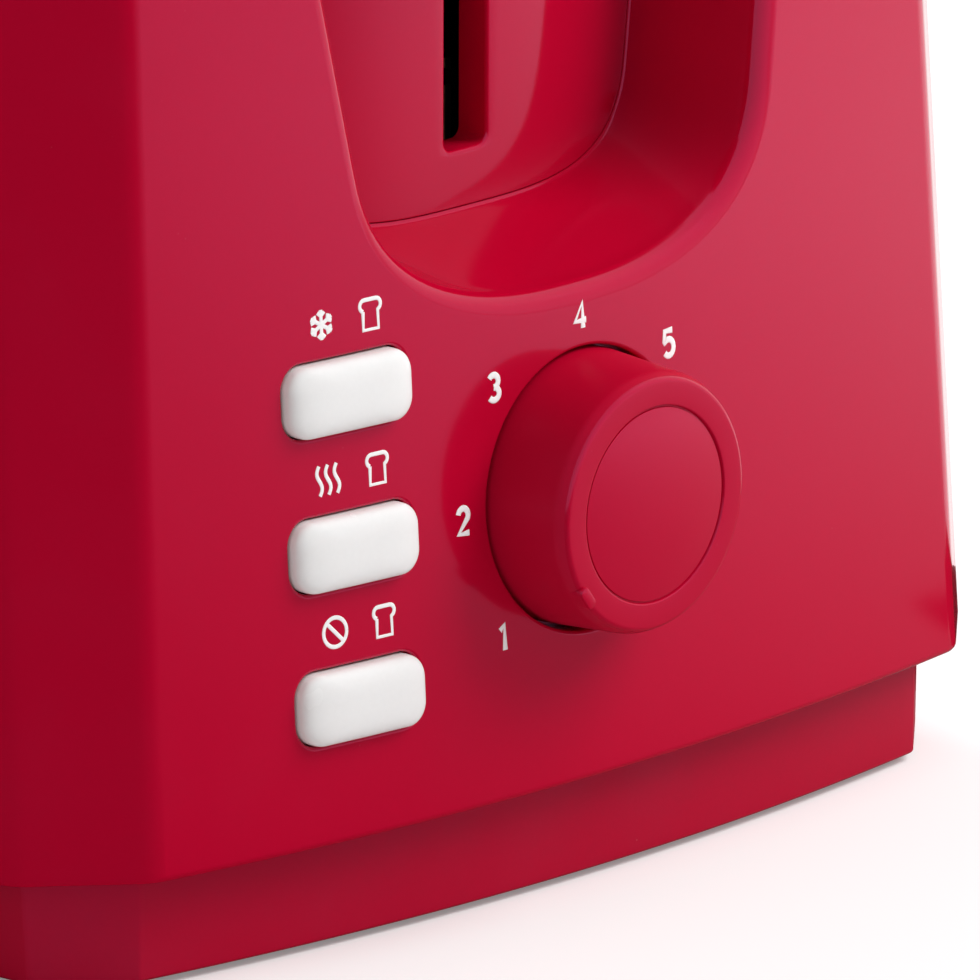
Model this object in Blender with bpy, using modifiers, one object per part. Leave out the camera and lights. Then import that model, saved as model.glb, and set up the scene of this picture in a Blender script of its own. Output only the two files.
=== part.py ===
"""Two-slice pop-up toaster: a moulded shell with its control end, its chassis and everything that moves.

Metres, +Z up. The control end faces -Y, the bread slots run along Y, and the feet stand on Z = 0.
Shapes are worked out in the body's own frame, whose Y = 0 is the middle of the shell, and an empty
moves them all so that the origin lies under the middle of the whole toaster.
"""

import math

import bmesh
import bpy
from mathutils import Matrix, Vector

# Fits between pieces
GAP = 0.0003  # between pieces that rest on each other
RUNNING_GAP = 0.0006  # between pieces that slide or turn
OVERRUN = 0.003  # how far a cutter passes the face that it cuts

# Shell
BODY_LENGTH = 0.270  # along Y at its lower edge
BODY_WIDTH = 0.180
BODY_HEIGHT = 0.190
BODY_BOTTOM = 0.0150  # height of the shell's lower edge
BODY_WALL = 0.0024
CORNER_REACH = 0.0164  # of each corner chamfer in X, at the lower edge
FRONT_BOW = 0.425
SIDE_BOW = 2.6
CORNER_BLEND = 0.006
LEAST_BLEND = 0.0012
TOP_EDGE_RADIUS = 0.016
BOTTOM_EDGE_RADIUS = 0.0010
CHAMFER_TURN = math.radians(41)
FRONT_LEAN = math.radians(3.6)
SIDE_TAPER = math.radians(1.25)

# Thumb recess in the front face, open at the top
RECESS_BOTTOM = 0.0783
RECESS_SHOULDER = 0.0200  # from its bottom up to where its sides run straight
RECESS_SIDE_ROOM = 0.0412  # from its side, at its bottom, to the front face's sharp corner
RECESS_LIP = 0.0019
RECESS_POWER = 2.5
RECESS_SIDE_LEAN = math.radians(10.2)
RECESS_MID_SHARE = 0.5  # how far in its middle outline lies, from its mouth to the panel

# Lever panel, the bowed plate at the back of the recess
PANEL_DEPTH = 0.0187  # from the front face back to the upright plate, at the foot of its slot
PANEL_BOW = 0.105
PANEL_RISE = 0.0065  # how much higher its lower edge lies than the recess's
PANEL_SIDE_INSET = 0.0015
PANEL_POWER = 4.0
PANEL_PAD = 0.0024  # how far its middle stands forward of its flange
PANEL_WALL = 0.0022
PANEL_FLANGE = 0.0050
LEVER_SLOT_WIDTH = 0.0076
LEVER_SLOT_BOTTOM = 0.0920
LEVER_SLOT_DEPTH = 0.0060
LEVER_SLOT_WALL = 0.0018

# Lever, carriage and guide rod
LEVER_HEADROOM = 0.0295  # from the top of the arm, at rest, up to the shell's top
LEVER_MARGIN = 0.0015  # from the arm to either end of its slot
ARM_THICKNESS = 0.0030
ARM_HEIGHT = 0.0120
HANDLE_SIDE_ROOM = 0.0094  # from either end of the handle to the recess's side
HANDLE_HEIGHT = 0.0130
HANDLE_DEPTH = 0.0230
HANDLE_CORNER = 0.0040
HANDLE_ROUND = 0.0022
HANDLE_REACH = 0.0140  # length of arm inside the handle
HANDLE_CLEARANCE = 0.0012  # from the panel
CARRIAGE_DROP = 0.0460  # from the arm down to the cross bar
CROSS_BAR_HEIGHT = 0.0080
CROSS_BAR_THICKNESS = 0.0020
SLEEVE_SIZE = 0.0100
ROD_RADIUS = 0.0020
ROD_OFFSET = 0.0090  # from the front plate to the rod's axis
TAB_THICKNESS = 0.0016
SPRING_OFFSET = 0.0130
SPRING_RADIUS = 0.0032
SPRING_WIRE = 0.0005
SPRING_TURNS = 12
SPRING_EYE = 0.0030
MAGNET_OFFSET = 0.0150
MAGNET_RADIUS = 0.0065
MAGNET_CORE_RADIUS = 0.0030
KEEPER_RADIUS = 0.0055
KEEPER_THICKNESS = 0.0020
KEEPER_LIFT = 0.0140  # of its tab above the cross bar's lower edge
MAGNET_CLEARANCE = 0.0006

# Chassis and toasting chamber
PLATE_THICKNESS = 0.0010
CONTROL_BAY = 0.0540  # from the shell's front lower edge to the chamber
REAR_BAY = 0.0510  # from the chamber to the shell's rear lower edge
CHAMBER_HEADROOM = 0.0180  # from the chamber's plates up to the shell's top
SLOT_END_ROOM = 0.0095  # from a slot's end to the chamber's plate
CHAMBER_SIDE_ROOM = 0.0350  # from the chamber's reflector to the shell's lower edge
SLOT_SIDE_ROOM = 0.0110  # from a slot out to the reflector
SLOT_BRIDGE = 0.0200  # between the two slots
SLOT_CORNER = 0.0070
SLOT_LIP = 0.0025
SLOT_COLLAR = 0.0110  # height of the collar that hangs round each bread slot
HEATER_ROOM = 0.0070  # from a slot's side out to its heater board
HEATER_THICKNESS = 0.0010
HEATER_BOTTOM = 0.0440
HEATER_HEADROOM = 0.0260  # from a heater board up to the shell's top
WINDING_WIRE = 0.0004
WINDING_TURNS = 11
WINDING_MARGIN = 0.0120
GUARD_INSET = 0.0010  # from a slot's side in to its guard
GUARD_WIRE = 0.0008
GUARD_BAR_SHARE = 0.8  # radius of a guard's upright bars, of its frame's
GUARD_PIVOT = 0.0340
GUARD_HEADROOM = 0.0300  # from a guard's frame up to the shell's top
GUARD_BARS = 6
RACK_THICKNESS = 0.0014
RACK_FIN_WIDTH = 0.0120
RACK_FIN_HEIGHT = 0.0025
RACK_FIN_THICKNESS = 0.0012
RACK_FINS = 6
RACK_SLOT_MARGIN = 0.0008
RACK_TAIL = 0.0030

# Base, crumb tray and feet
FOOT_STANDOFF = 0.0010
FOOT_RADIUS = 0.0080
FOOT_SINK = 0.0012
FOOT_FROM_SIDE = 0.0260
FOOT_FROM_END = 0.0510
BASE_INSET = 0.0052  # from the shell's lower edge in to the base's wall
BASE_DRAFT = 0.0010
BASE_FLOOR = 0.0030
BASE_WALL = 0.0022
BASE_LEDGE = 0.0006  # height of its ledge above the shell's lower edge
BASE_RIM = 0.0080  # height of the rim that stands inside the shell
RAIL_WIDTH = 0.0060
RAIL_TOP = 0.0140
TRAY_HEIGHT = 0.0072
TRAY_WALL = 0.0010
TRAY_FRONT = 0.0040  # from the chamber's front plate to the tray's front edge
TRAY_GRIP = 0.0030
TRAY_PULL_WIDTH = 0.0400
TRAY_PULL_HEIGHT = 0.0024
TRAY_CLEAR = 0.0050  # how far past the shell the tray can be drawn
VENT_COUNT = 7
VENT_WIDTH = 0.0030
VENT_LENGTH = 0.0240
VENT_PITCH = 0.0070
POST_FROM_SIDE = 0.0220
POST_FROM_END = 0.0310
POST_RADIUS = 0.0045
POST_TOP = 0.0240
BOSS_TOP = 0.0620
RIB_THICKNESS = 0.0024
SCREW_RADIUS = 0.0016
SCREW_HEAD_RADIUS = 0.0030
SCREW_HEAD_HEIGHT = 0.0018
SCREW_LENGTH = 0.0160
SCREW_CROWN_SHARE = 0.7  # radius of a screw head's flat top, of the head's own
SMALL_SCREW_RADIUS = 0.0012
SMALL_SCREW_HEAD_RADIUS = 0.0024
SMALL_SCREW_HEAD_HEIGHT = 0.0014
SMALL_SCREW_LENGTH = 0.0080
GLAND_FROM_SIDE = 0.0280
GLAND_BORE = 0.0032
GLAND_RADIUS = 0.0042
GLAND_FLANGE_RADIUS = 0.0052
GLAND_FLANGE = 0.0012

# Browning knob
KNOB_Z = 0.0520
KNOB_BASE_RADIUS = 0.0176
KNOB_FACE_RADIUS = 0.0163
KNOB_BEVEL = 0.0011
KNOB_REACH = 0.0120  # how far it stands out of the front face
KNOB_WALL = 0.0020
KNOB_DISC_RADIUS = 0.0126
KNOB_GROOVE = 0.0006
KNOB_CROWN = 0.0007
KNOB_HUB_RADIUS = 0.0052
KNOB_NUB_SIZE = 0.0022
KNOB_NUB_ANGLE = math.radians(225)
DISH_RADIUS = 0.0182
DISH_DEPTH = 0.0040
SHAFT_RADIUS = 0.0030
SHAFT_GRIP = 0.0080  # length of shaft inside the knob
POT_RADIUS = 0.0080
POT_DEPTH = 0.0070
POT_NECK_RADIUS = 0.0045

# Buttons and control board
BUTTON_X = -0.0404
BUTTON_Z = (0.0715, 0.0520, 0.0327)
BUTTON_NAMES = ("defrost", "reheat", "cancel")
BUTTON_WIDTH = 0.0203
BUTTON_HEIGHT = 0.0091
BUTTON_CORNER = 0.0028
BUTTON_PROUD = 0.0016
BUTTON_CROWN = 0.0006
BUTTON_CREST_SHARE = 0.8  # of its corner radius, from its edge in to its flat top
BUTTON_TRAVEL = 0.0015
BUTTON_FLANGE = 0.0014
BUTTON_FLANGE_THICKNESS = 0.0012
BUTTON_STEM = 0.0050
SWITCH_SIZE = 0.0060
SWITCH_DEPTH = 0.0035
PLUNGER_RADIUS = 0.0017
PLUNGER_REACH = 0.0010
BOARD_DEPTH = 0.0165  # from the front face, at the knob, back to the board
BOARD_THICKNESS = 0.0016
BOARD_BOTTOM = 0.0250
BOARD_TOP = 0.0785
BOARD_LEFT = -0.0560
BOARD_RIGHT = 0.0270
BOARD_POSTS = ((-0.0230, 0.0725), (0.0210, 0.0310))
BOARD_POST_RADIUS = 0.0030
BLOCK_WIDTH = 0.0240
BLOCK_HEIGHT = 0.0120
BLOCK_DEPTH = 0.0100
BLOCK_Z = 0.0360
CONTACT_WIDTH = 0.0140
CONTACT_X = 0.0320
CONTACT_DEPTH = 0.0080
CONTACT_BOTTOM = 0.0180
CONTACT_TOP = 0.0320
LEAF_THICKNESS = 0.0008
LEAF_WIDTH = 0.0040
LEAF_SHARES = (0.25, 0.75)  # places of the two leaves across the block's depth

# Counts that set how finely round shapes are faceted
FACE_STEPS = 6
TOP_EDGE_STEPS = 7
ROUND_STEPS = 7
SIDE_RUNS = 3
HANDLE_RUNS = 3
TURN_POINTS = 7
SIDE_STEPS = 2
BLEND_STEPS = 3
EDGE_STEPS = 4
KNOB_SIDES = 32
ROUND_SIDES = 16
SMALL_SIDES = 10


def mix(start, end, share):
    return start + (end - start) * share


# Collections, and the empty that carries every piece

def new_collection(name):
    collection = bpy.data.collections.new(name)
    bpy.context.scene.collection.children.link(collection)
    return collection


for old in list(bpy.data.objects):
    bpy.data.objects.remove(old)

parts = new_collection("toaster")
cutters = new_collection("toaster_cutters")


# Outline of the shell, seen from above

def half_length(z):
    return BODY_LENGTH / 2 - (z - BODY_BOTTOM) * math.tan(FRONT_LEAN)


def half_width(z):
    return BODY_WIDTH / 2 - (z - BODY_BOTTOM) * math.tan(SIDE_TAPER)


def face_half_width(z):
    return half_width(z) - CORNER_REACH


def bow(x, radius):
    """How far an arc of this radius falls back at a distance x from its middle."""
    return radius - math.sqrt(radius**2 - x**2)


def front_y(x, z):
    return bow(x, FRONT_BOW) - half_length(z)


recess_half_width = face_half_width(BODY_BOTTOM) - RECESS_SIDE_ROOM
handle_width = 2 * (recess_half_width - HANDLE_SIDE_ROOM)


def panel_y(x):
    """Front of the lever panel, which is bowed and stands upright."""
    return front_y(0, LEVER_SLOT_BOTTOM) + PANEL_DEPTH + bow(x, PANEL_BOW)


origin = bpy.data.objects.new("toaster_origin", None)
parts.objects.link(origin)
knob_face_y = front_y(0, KNOB_Z) - KNOB_REACH
origin.location.y = -(half_length(BODY_BOTTOM) + knob_face_y) / 2


def line_circle(point, direction, centre, radius):
    """The two distances along a line at which it meets a circle."""
    offset = point - centre
    along = offset.dot(direction)
    root = math.sqrt(along**2 - offset.length_squared + radius**2)
    return -along - root, -along + root


def fillet(before, corner, after, radius):
    """Points of the arc that rounds one corner of an outline."""
    first = (before - corner).normalized()
    second = (after - corner).normalized()
    half = math.acos(max(-1, min(1, first.dot(second)))) / 2
    centre = corner + (first + second).normalized() * (radius / math.sin(half))
    start = corner + first * (radius / math.tan(half)) - centre
    turn = start.angle_signed(corner + second * (radius / math.tan(half)) - centre)
    points = []
    for step in range(BLEND_STEPS + 1):
        arm = start.copy()
        arm.rotate(Matrix.Rotation(-turn * step / BLEND_STEPS, 2))
        points.append(centre + arm)
    return points


def plan(z, inset):
    """The shell's outline at height z, drawn in by inset: bowed ends, flat chamfered corners, long sides."""
    length, width, face = half_length(z), half_width(z), face_half_width(z)
    along = Vector((math.cos(CHAMFER_TURN), math.sin(CHAMFER_TURN)))
    inward = Vector((-along.y, along.x))
    start = Vector((face, bow(face, FRONT_BOW) - length)) + inward * inset
    near = min(line_circle(start, along, Vector((0, FRONT_BOW - length)), FRONT_BOW - inset), key=abs)
    far = max(line_circle(start, along, Vector((width - SIDE_BOW, 0)), SIDE_BOW - inset))
    first, second = start + along * near, start + along * far
    front = []
    for step in range(FACE_STEPS):
        x = first.x * step / FACE_STEPS
        front.append(Vector((x, FRONT_BOW - length - math.sqrt((FRONT_BOW - inset) ** 2 - x**2))))
    side = []
    for step in range(1, SIDE_STEPS + 1):
        y = second.y * (1 - step / SIDE_STEPS)
        side.append(Vector((width - SIDE_BOW + math.sqrt((SIDE_BOW - inset) ** 2 - y**2), y)))
    blend = max(CORNER_BLEND - inset, LEAST_BLEND)
    quarter = front + fillet(front[-1], first, second, blend) + fillet(first, second, side[0], blend) + side
    right = quarter + [Vector((p.x, -p.y)) for p in reversed(quarter[:-1])]
    left = [Vector((-p.x, p.y)) for p in reversed(right[1:-1])]
    return [Vector((p.x, p.y, z)) for p in right + left]


def rounded_rectangle(width, height, corner):
    """Points of a rounded rectangle about the origin, anticlockwise."""
    points = []
    for side, (sx, sy) in enumerate(((1, -1), (1, 1), (-1, 1), (-1, -1))):
        for step in range(BLEND_STEPS + 1):
            angle = math.pi / 2 * (side - 1 + step / BLEND_STEPS)
            x = sx * (width / 2 - corner) + corner * math.cos(angle)
            y = sy * (height / 2 - corner) + corner * math.sin(angle)
            points.append((x, y))
    return points


# Ways of making a piece

def add_object(name, data, collection=parts):
    obj = bpy.data.objects.new(name, data)
    collection.objects.link(obj)
    obj.parent = origin
    if collection == cutters:
        obj.hide_render = True
        obj.display_type = "WIRE"
    return obj


def finish_mesh(name, work, collection):
    bmesh.ops.recalc_face_normals(work, faces=work.faces)
    mesh = bpy.data.meshes.new(name)
    work.to_mesh(mesh)
    work.free()
    return add_object(name, mesh, collection)


def loft(name, rings, collection=parts):
    """A closed solid through rings of points that match one to one, with a flat face at each end."""
    work = bmesh.new()
    loops = [[work.verts.new(point) for point in ring] for ring in rings]
    count = len(loops[0])
    for lower, upper in zip(loops, loops[1:]):
        for i in range(count):
            j = (i + 1) % count
            work.faces.new((lower[i], lower[j], upper[j], upper[i]))
    work.faces.new(loops[0])
    work.faces.new(loops[-1])
    return finish_mesh(name, work, collection)


def box(name, low, high, collection=parts):
    low, high = Vector(low), Vector(high)
    work = bmesh.new()
    size = Matrix.Diagonal((*(high - low), 1))
    bmesh.ops.create_cube(work, size=1, matrix=Matrix.Translation((low + high) / 2) @ size)
    return finish_mesh(name, work, collection)


def cylinder(name, start, end, radius, collection=parts, sides=SMALL_SIDES):
    start, end = Vector(start), Vector(end)
    turn = (end - start).to_track_quat("Z", "Y").to_matrix().to_4x4()
    work = bmesh.new()
    bmesh.ops.create_cone(
        work,
        cap_ends=True,
        segments=sides,
        radius1=radius,
        radius2=radius,
        depth=(end - start).length,
        matrix=Matrix.Translation((start + end) / 2) @ turn,
    )
    return finish_mesh(name, work, collection)


def turned(name, profile, place, towards, collection=parts, sides=ROUND_SIDES):
    """A profile of (radius, height) pairs, outer side first from the top down, turned about its axis."""
    mesh = bpy.data.meshes.new(name)
    points = [(radius, 0, height) for radius, height in profile]
    mesh.from_pydata(points, [(i, i + 1) for i in range(len(points) - 1)], [])
    obj = add_object(name, mesh, collection)
    obj.location = place
    obj.rotation_euler = Vector(towards).to_track_quat("Z", "Y").to_euler()
    screw = obj.modifiers.new("turn", "SCREW")
    screw.steps = sides
    screw.render_steps = sides
    screw.use_merge_vertices = True
    screw.merge_threshold = 0.00001
    return obj


def wire(name, points, radius, collection=parts, resolution=1):
    """A round wire along straight runs between points."""
    curve = bpy.data.curves.new(name, "CURVE")
    curve.dimensions = "3D"
    curve.bevel_depth = radius
    curve.bevel_resolution = resolution
    curve.use_fill_caps = True
    spline = curve.splines.new("POLY")
    spline.points.add(len(points) - 1)
    for target, point in zip(spline.points, points):
        target.co = (*point, 1)
    return add_object(name, curve, collection)


def solid_wire(name, points, radius, collection=parts, resolution=1):
    """A round wire made a closed mesh, which can be joined to other pieces."""
    guide = wire(name, points, radius, cutters, resolution)
    bpy.context.view_layer.update()
    evaluated = guide.evaluated_get(bpy.context.evaluated_depsgraph_get())
    work = bmesh.new()
    work.from_mesh(evaluated.to_mesh())
    bpy.data.objects.remove(guide)
    bmesh.ops.remove_doubles(work, verts=work.verts, dist=GAP / 100)
    return finish_mesh(name, work, collection)


def boolean(target, operation, *others):
    for other in others:
        modifier = target.modifiers.new(f"{operation.lower()} {other.name}", "BOOLEAN")
        modifier.operation = operation
        modifier.object = other
    return target


def cut(target, *others):
    return boolean(target, "DIFFERENCE", *others)


def join(target, *others):
    return boolean(target, "UNION", *others)


def set_origin(obj, point):
    """Puts a piece's origin on its joint's axis and leaves the piece where it is."""
    point = Vector(point)
    obj.data.transform(Matrix.Translation(-point))
    obj.location = point
    return obj


def linear(colour):
    return [(c / 12.92 if c < 0.04045 else ((c + 0.055) / 1.055) ** 2.4) for c in colour]


def material(name, colour, roughness, metallic=0):
    """A finish whose colour is given as it looks on a screen, from 0 to 1."""
    new = bpy.data.materials.new(name)
    new.use_nodes = True
    shader = new.node_tree.nodes["Principled BSDF"]
    shader.inputs["Base Color"].default_value = (*linear(colour), 1)
    shader.inputs["Roughness"].default_value = roughness
    shader.inputs["Metallic"].default_value = metallic
    new.diffuse_color = (*linear(colour), 1)
    return new


RED = (0.74, 0.13, 0.25)
WHITE = (0.95, 0.94, 0.94)
STEEL = (0.72, 0.72, 0.71)
DARK = (0.07, 0.07, 0.07)
MICA = (0.80, 0.76, 0.66)


def dress(obj, colour, roughness, metallic=0):
    obj.data.materials.append(material(obj.name, colour, roughness, metallic))
    if obj.type == "MESH" and obj.data.polygons:
        obj.data.shade_smooth()
        obj.data.set_sharp_from_angle(angle=math.radians(30))
    return obj


# Heights and places that several pieces share

chamber_front = CONTROL_BAY - BODY_LENGTH / 2
chamber_rear = BODY_LENGTH / 2 - REAR_BAY
chamber_length = chamber_rear - chamber_front
chamber_top = BODY_HEIGHT - CHAMBER_HEADROOM
slot_length = chamber_length - 2 * SLOT_END_ROOM
heater_top = BODY_HEIGHT - HEATER_HEADROOM
guard_top = BODY_HEIGHT - GUARD_HEADROOM
chamber_middle = (chamber_front + chamber_rear) / 2
chamber_half_width = BODY_WIDTH / 2 - CHAMBER_SIDE_ROOM
slot_width = chamber_half_width - SLOT_SIDE_ROOM - SLOT_BRIDGE / 2
slot_spacing = slot_width + SLOT_BRIDGE
guard_offset = slot_width / 2 - GUARD_INSET
chamber_bottom = RAIL_TOP + GAP
plate_half_width = chamber_half_width + RAIL_WIDTH / 4
slot_centres = (("left", -slot_spacing / 2), ("right", slot_spacing / 2))
arm_top = BODY_HEIGHT - LEVER_HEADROOM
arm_bottom = arm_top - ARM_HEIGHT
lever_travel = arm_bottom - LEVER_SLOT_BOTTOM - LEVER_MARGIN
lever_slot_top = arm_top + LEVER_MARGIN
rack_top = arm_bottom - CARRIAGE_DROP
rack_bottom = rack_top - CROSS_BAR_HEIGHT
rod_y = chamber_front - PLATE_THICKNESS - ROD_OFFSET
foot_x = BODY_WIDTH / 2 - FOOT_FROM_SIDE
foot_y = BODY_LENGTH / 2 - FOOT_FROM_END
post_x = BODY_WIDTH / 2 - POST_FROM_SIDE
post_y = BODY_LENGTH / 2 - POST_FROM_END
gland_x = BODY_WIDTH / 2 - GLAND_FROM_SIDE
floor_top = FOOT_STANDOFF + BASE_FLOOR
deck_underside = BODY_HEIGHT - BODY_WALL
above_body = BODY_HEIGHT + OVERRUN
front_at_knob = front_y(0, KNOB_Z)
dish_floor = front_at_knob + DISH_DEPTH
board_front = front_at_knob + BOARD_DEPTH


# Thumb recess: rings of one outline that narrows from the front face back to the panel

def recess_outline(share, offset, top):
    """The recess's outline in X and Z: share 0 is its mouth and 1 the panel, offset moves it outwards."""
    half = recess_half_width - PANEL_SIDE_INSET * share + offset
    drop = RECESS_SHOULDER - PANEL_RISE * share + offset
    power = mix(RECESS_POWER, PANEL_POWER, share)
    shoulder = RECESS_BOTTOM + RECESS_SHOULDER
    right = []
    for step in range(ROUND_STEPS + 1):
        angle = math.pi / 2 * step / ROUND_STEPS
        x = half * math.sin(angle) ** (2 / power)
        z = shoulder - drop * math.cos(angle) ** (2 / power)
        right.append((x, z))
    for step in range(1, SIDE_RUNS + 1):
        right.append((half, mix(shoulder, top, step / SIDE_RUNS)))
    spread = math.tan(RECESS_SIDE_LEAN)
    right = [(x + spread * (z - RECESS_BOTTOM) * math.sqrt(x / half), z) for x, z in right]
    corner = right[-1][0]
    edge = [(mix(corner, -corner, step / TOP_EDGE_STEPS), top) for step in range(1, TOP_EDGE_STEPS)]
    left = [(-x, z) for x, z in reversed(right[1:])]
    return right + edge + left


def recess_ring(share, offset, depth, top=above_body):
    ring = []
    for x, z in recess_outline(share, offset, top):
        ring.append((x, mix(front_y(x, z), panel_y(x), share) + depth, z))
    return ring


def recess_cutter(name, offset):
    """The recess as a solid, with a rounded lip where it meets the front face."""
    rings = [recess_ring(0, offset + RECESS_LIP, -OVERRUN)]
    for step in range(EDGE_STEPS + 1):
        angle = math.pi / 2 * step / EDGE_STEPS
        lip = RECESS_LIP * (1 - math.sin(angle))
        rings.append(recess_ring(0, offset + lip, RECESS_LIP * (1 - math.cos(angle))))
    rings.append(recess_ring(RECESS_MID_SHARE, offset, RECESS_LIP / 2))
    rings.append(recess_ring(1, offset, 0))
    rings.append(recess_ring(1, offset, PANEL_DEPTH / 2))
    return loft(name, rings, cutters)


def bowed_block(name, front_depth, back_depth, bottom=BODY_BOTTOM, collection=cutters):
    """An upright slab that follows the lever panel's bow; depths are from the panel's face."""
    reach = recess_half_width + (above_body - RECESS_BOTTOM) * math.tan(RECESS_SIDE_LEAN)
    reach += 2 * PANEL_FLANGE
    steps = 2 * TOP_EDGE_STEPS
    across = [mix(-reach, reach, step / steps) for step in range(steps + 1)]
    rings = []
    for z in (bottom, above_body + OVERRUN):
        front = [(x, panel_y(x) + front_depth, z) for x in across]
        back = [(x, panel_y(x) + back_depth, z) for x in reversed(across)]
        rings.append(front + back)
    return loft(name, rings, collection)


def recess_prism(name, offset, top):
    """The outline of the recess at the panel, run straight through it."""
    outline = recess_outline(1, offset, top)
    ends = (front_y(0, BODY_BOTTOM), chamber_front)
    return loft(name, [[(x, y, z) for x, z in outline] for y in ends], cutters)


flange_depth = PANEL_PAD
recess = recess_cutter("recess_cut", 0)
recess_end = bowed_block("recess_end", flange_depth + PANEL_WALL + GAP, CONTROL_BAY)
cut(recess, recess_end)
recess_wall = recess_cutter("recess_wall", BODY_WALL)
recess_wall_end = bowed_block("recess_wall_end", flange_depth - GAP, CONTROL_BAY)
cut(recess_wall, recess_wall_end)


# Shell

def shell_rings(inset, bottom_rings):
    """Rings of the shell from its lower edge over its rounded top, drawn in by inset."""
    rings = bottom_rings
    radius = TOP_EDGE_RADIUS - inset
    shoulder = BODY_HEIGHT - TOP_EDGE_RADIUS
    for step in range(EDGE_STEPS + 1):
        angle = math.pi / 2 * step / EDGE_STEPS
        drawn_in = inset + radius * (1 - math.cos(angle))
        rings.append(plan(shoulder + radius * math.sin(angle), drawn_in))
    return rings


housing = loft(
    "housing",
    shell_rings(
        0,
        [
            plan(BODY_BOTTOM, BOTTOM_EDGE_RADIUS),
            plan(BODY_BOTTOM + BOTTOM_EDGE_RADIUS, 0),
        ],
    ),
)
cavity = loft("cavity", shell_rings(BODY_WALL, [plan(BODY_BOTTOM - OVERRUN, BODY_WALL)]), cutters)


def slot_ring(x, offset, z):
    outline = rounded_rectangle(slot_width + 2 * offset, slot_length + 2 * offset, SLOT_CORNER + offset)
    return [(x + px, chamber_middle + py, z) for px, py in outline]


slot_cutters = []
slot_walls = []
collar_bottom = BODY_HEIGHT - BODY_WALL - SLOT_COLLAR
for side, x in slot_centres:
    rings = [slot_ring(x, 0, collar_bottom - OVERRUN)]
    for step in range(EDGE_STEPS + 1):
        angle = math.pi / 2 * step / EDGE_STEPS
        offset = SLOT_LIP * (1 - math.cos(angle))
        rings.append(slot_ring(x, offset, BODY_HEIGHT - SLOT_LIP * (1 - math.sin(angle))))
    rings.append(slot_ring(x, SLOT_LIP, above_body))
    slot_cutters.append(loft(f"slot_{side}_cut", rings, cutters))
    walls = [slot_ring(x, BODY_WALL, collar_bottom), slot_ring(x, BODY_WALL, above_body)]
    slot_walls.append(loft(f"slot_{side}_wall", walls, cutters))

dish_front = front_at_knob - KNOB_REACH
dish = cylinder(
    "dish_cut", (0, dish_front, KNOB_Z), (0, dish_floor, KNOB_Z), DISH_RADIUS, cutters, KNOB_SIDES
)
dish_wall = cylinder(
    "dish_wall",
    (0, dish_front, KNOB_Z),
    (0, dish_floor + BODY_WALL, KNOB_Z),
    DISH_RADIUS + BODY_WALL,
    cutters,
    KNOB_SIDES,
)
shaft_hole = cylinder(
    "shaft_hole",
    (0, dish_floor - OVERRUN, KNOB_Z),
    (0, dish_floor + BODY_WALL + OVERRUN, KNOB_Z),
    POT_NECK_RADIUS + RUNNING_GAP,
    cutters,
)
cut(cavity, recess_wall, dish_wall, *slot_walls)


def button_ring(z_middle, offset, corner, depth_of):
    """A ring of a button's outline, with its depth taken from the front face at each point."""
    outline = rounded_rectangle(BUTTON_WIDTH + 2 * offset, BUTTON_HEIGHT + 2 * offset, corner)
    ring = []
    for px, pz in outline:
        x, z = BUTTON_X + px, z_middle + pz
        ring.append((x, depth_of(front_y(x, z)), z))
    return ring


button_back = {}
button_cutters = []
for name, z in zip(BUTTON_NAMES, BUTTON_Z):
    behind = front_y(BUTTON_X - BUTTON_WIDTH / 2, z + BUTTON_HEIGHT / 2) + BODY_WALL
    button_back[name] = behind
    clear = [
        button_ring(z, RUNNING_GAP, BUTTON_CORNER + RUNNING_GAP, lambda y: y - OVERRUN),
        button_ring(z, RUNNING_GAP, BUTTON_CORNER + RUNNING_GAP, lambda y, end=behind: end + OVERRUN),
    ]
    button_cutters.append(loft(f"button_{name}_hole", clear, cutters))

cut(housing, recess, *slot_cutters, dish, shaft_hole, *button_cutters, cavity)

# Bosses inside the shell: four over the base's posts, two for the control board, two for the panel
corners = (("left_front", -1, -1), ("right_front", 1, -1), ("left_rear", -1, 1), ("right_rear", 1, 1))
boss_bottom = POST_TOP + GAP
for corner, sx, sy in corners:
    x, y = sx * post_x, sy * post_y
    wall_x = half_width(BOSS_TOP) - bow(post_y, SIDE_BOW) - BODY_WALL / 2
    boss = cylinder(f"boss_{corner}", (x, y, boss_bottom), (x, y, BOSS_TOP), POST_RADIUS, cutters)
    rib_low = (min(x, sx * wall_x), y - RIB_THICKNESS / 2, boss_bottom + BASE_RIM)
    rib_high = (max(x, sx * wall_x), y + RIB_THICKNESS / 2, BOSS_TOP - GAP)
    rib = box(f"boss_rib_{corner}", rib_low, rib_high, cutters)
    pilot_top = FOOT_STANDOFF + SCREW_LENGTH + 2 * SCREW_HEAD_HEIGHT
    pilot = cylinder(
        f"boss_hole_{corner}", (x, y, boss_bottom - OVERRUN), (x, y, pilot_top), SCREW_RADIUS + GAP, cutters
    )
    join(housing, rib, boss)
    cut(housing, pilot)

for number, (x, z) in enumerate(BOARD_POSTS, 1):
    start = (x, front_y(x, z) + BODY_WALL / 2, z)
    post = cylinder(f"board_post_{number}", start, (x, board_front - GAP, z), BOARD_POST_RADIUS, cutters)
    hole_start = (x, board_front - SMALL_SCREW_LENGTH, z)
    hole = cylinder(
        f"board_post_hole_{number}", hole_start, (x, board_front, z), SMALL_SCREW_RADIUS + GAP, cutters
    )
    join(housing, post)
    cut(housing, hole)

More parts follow.
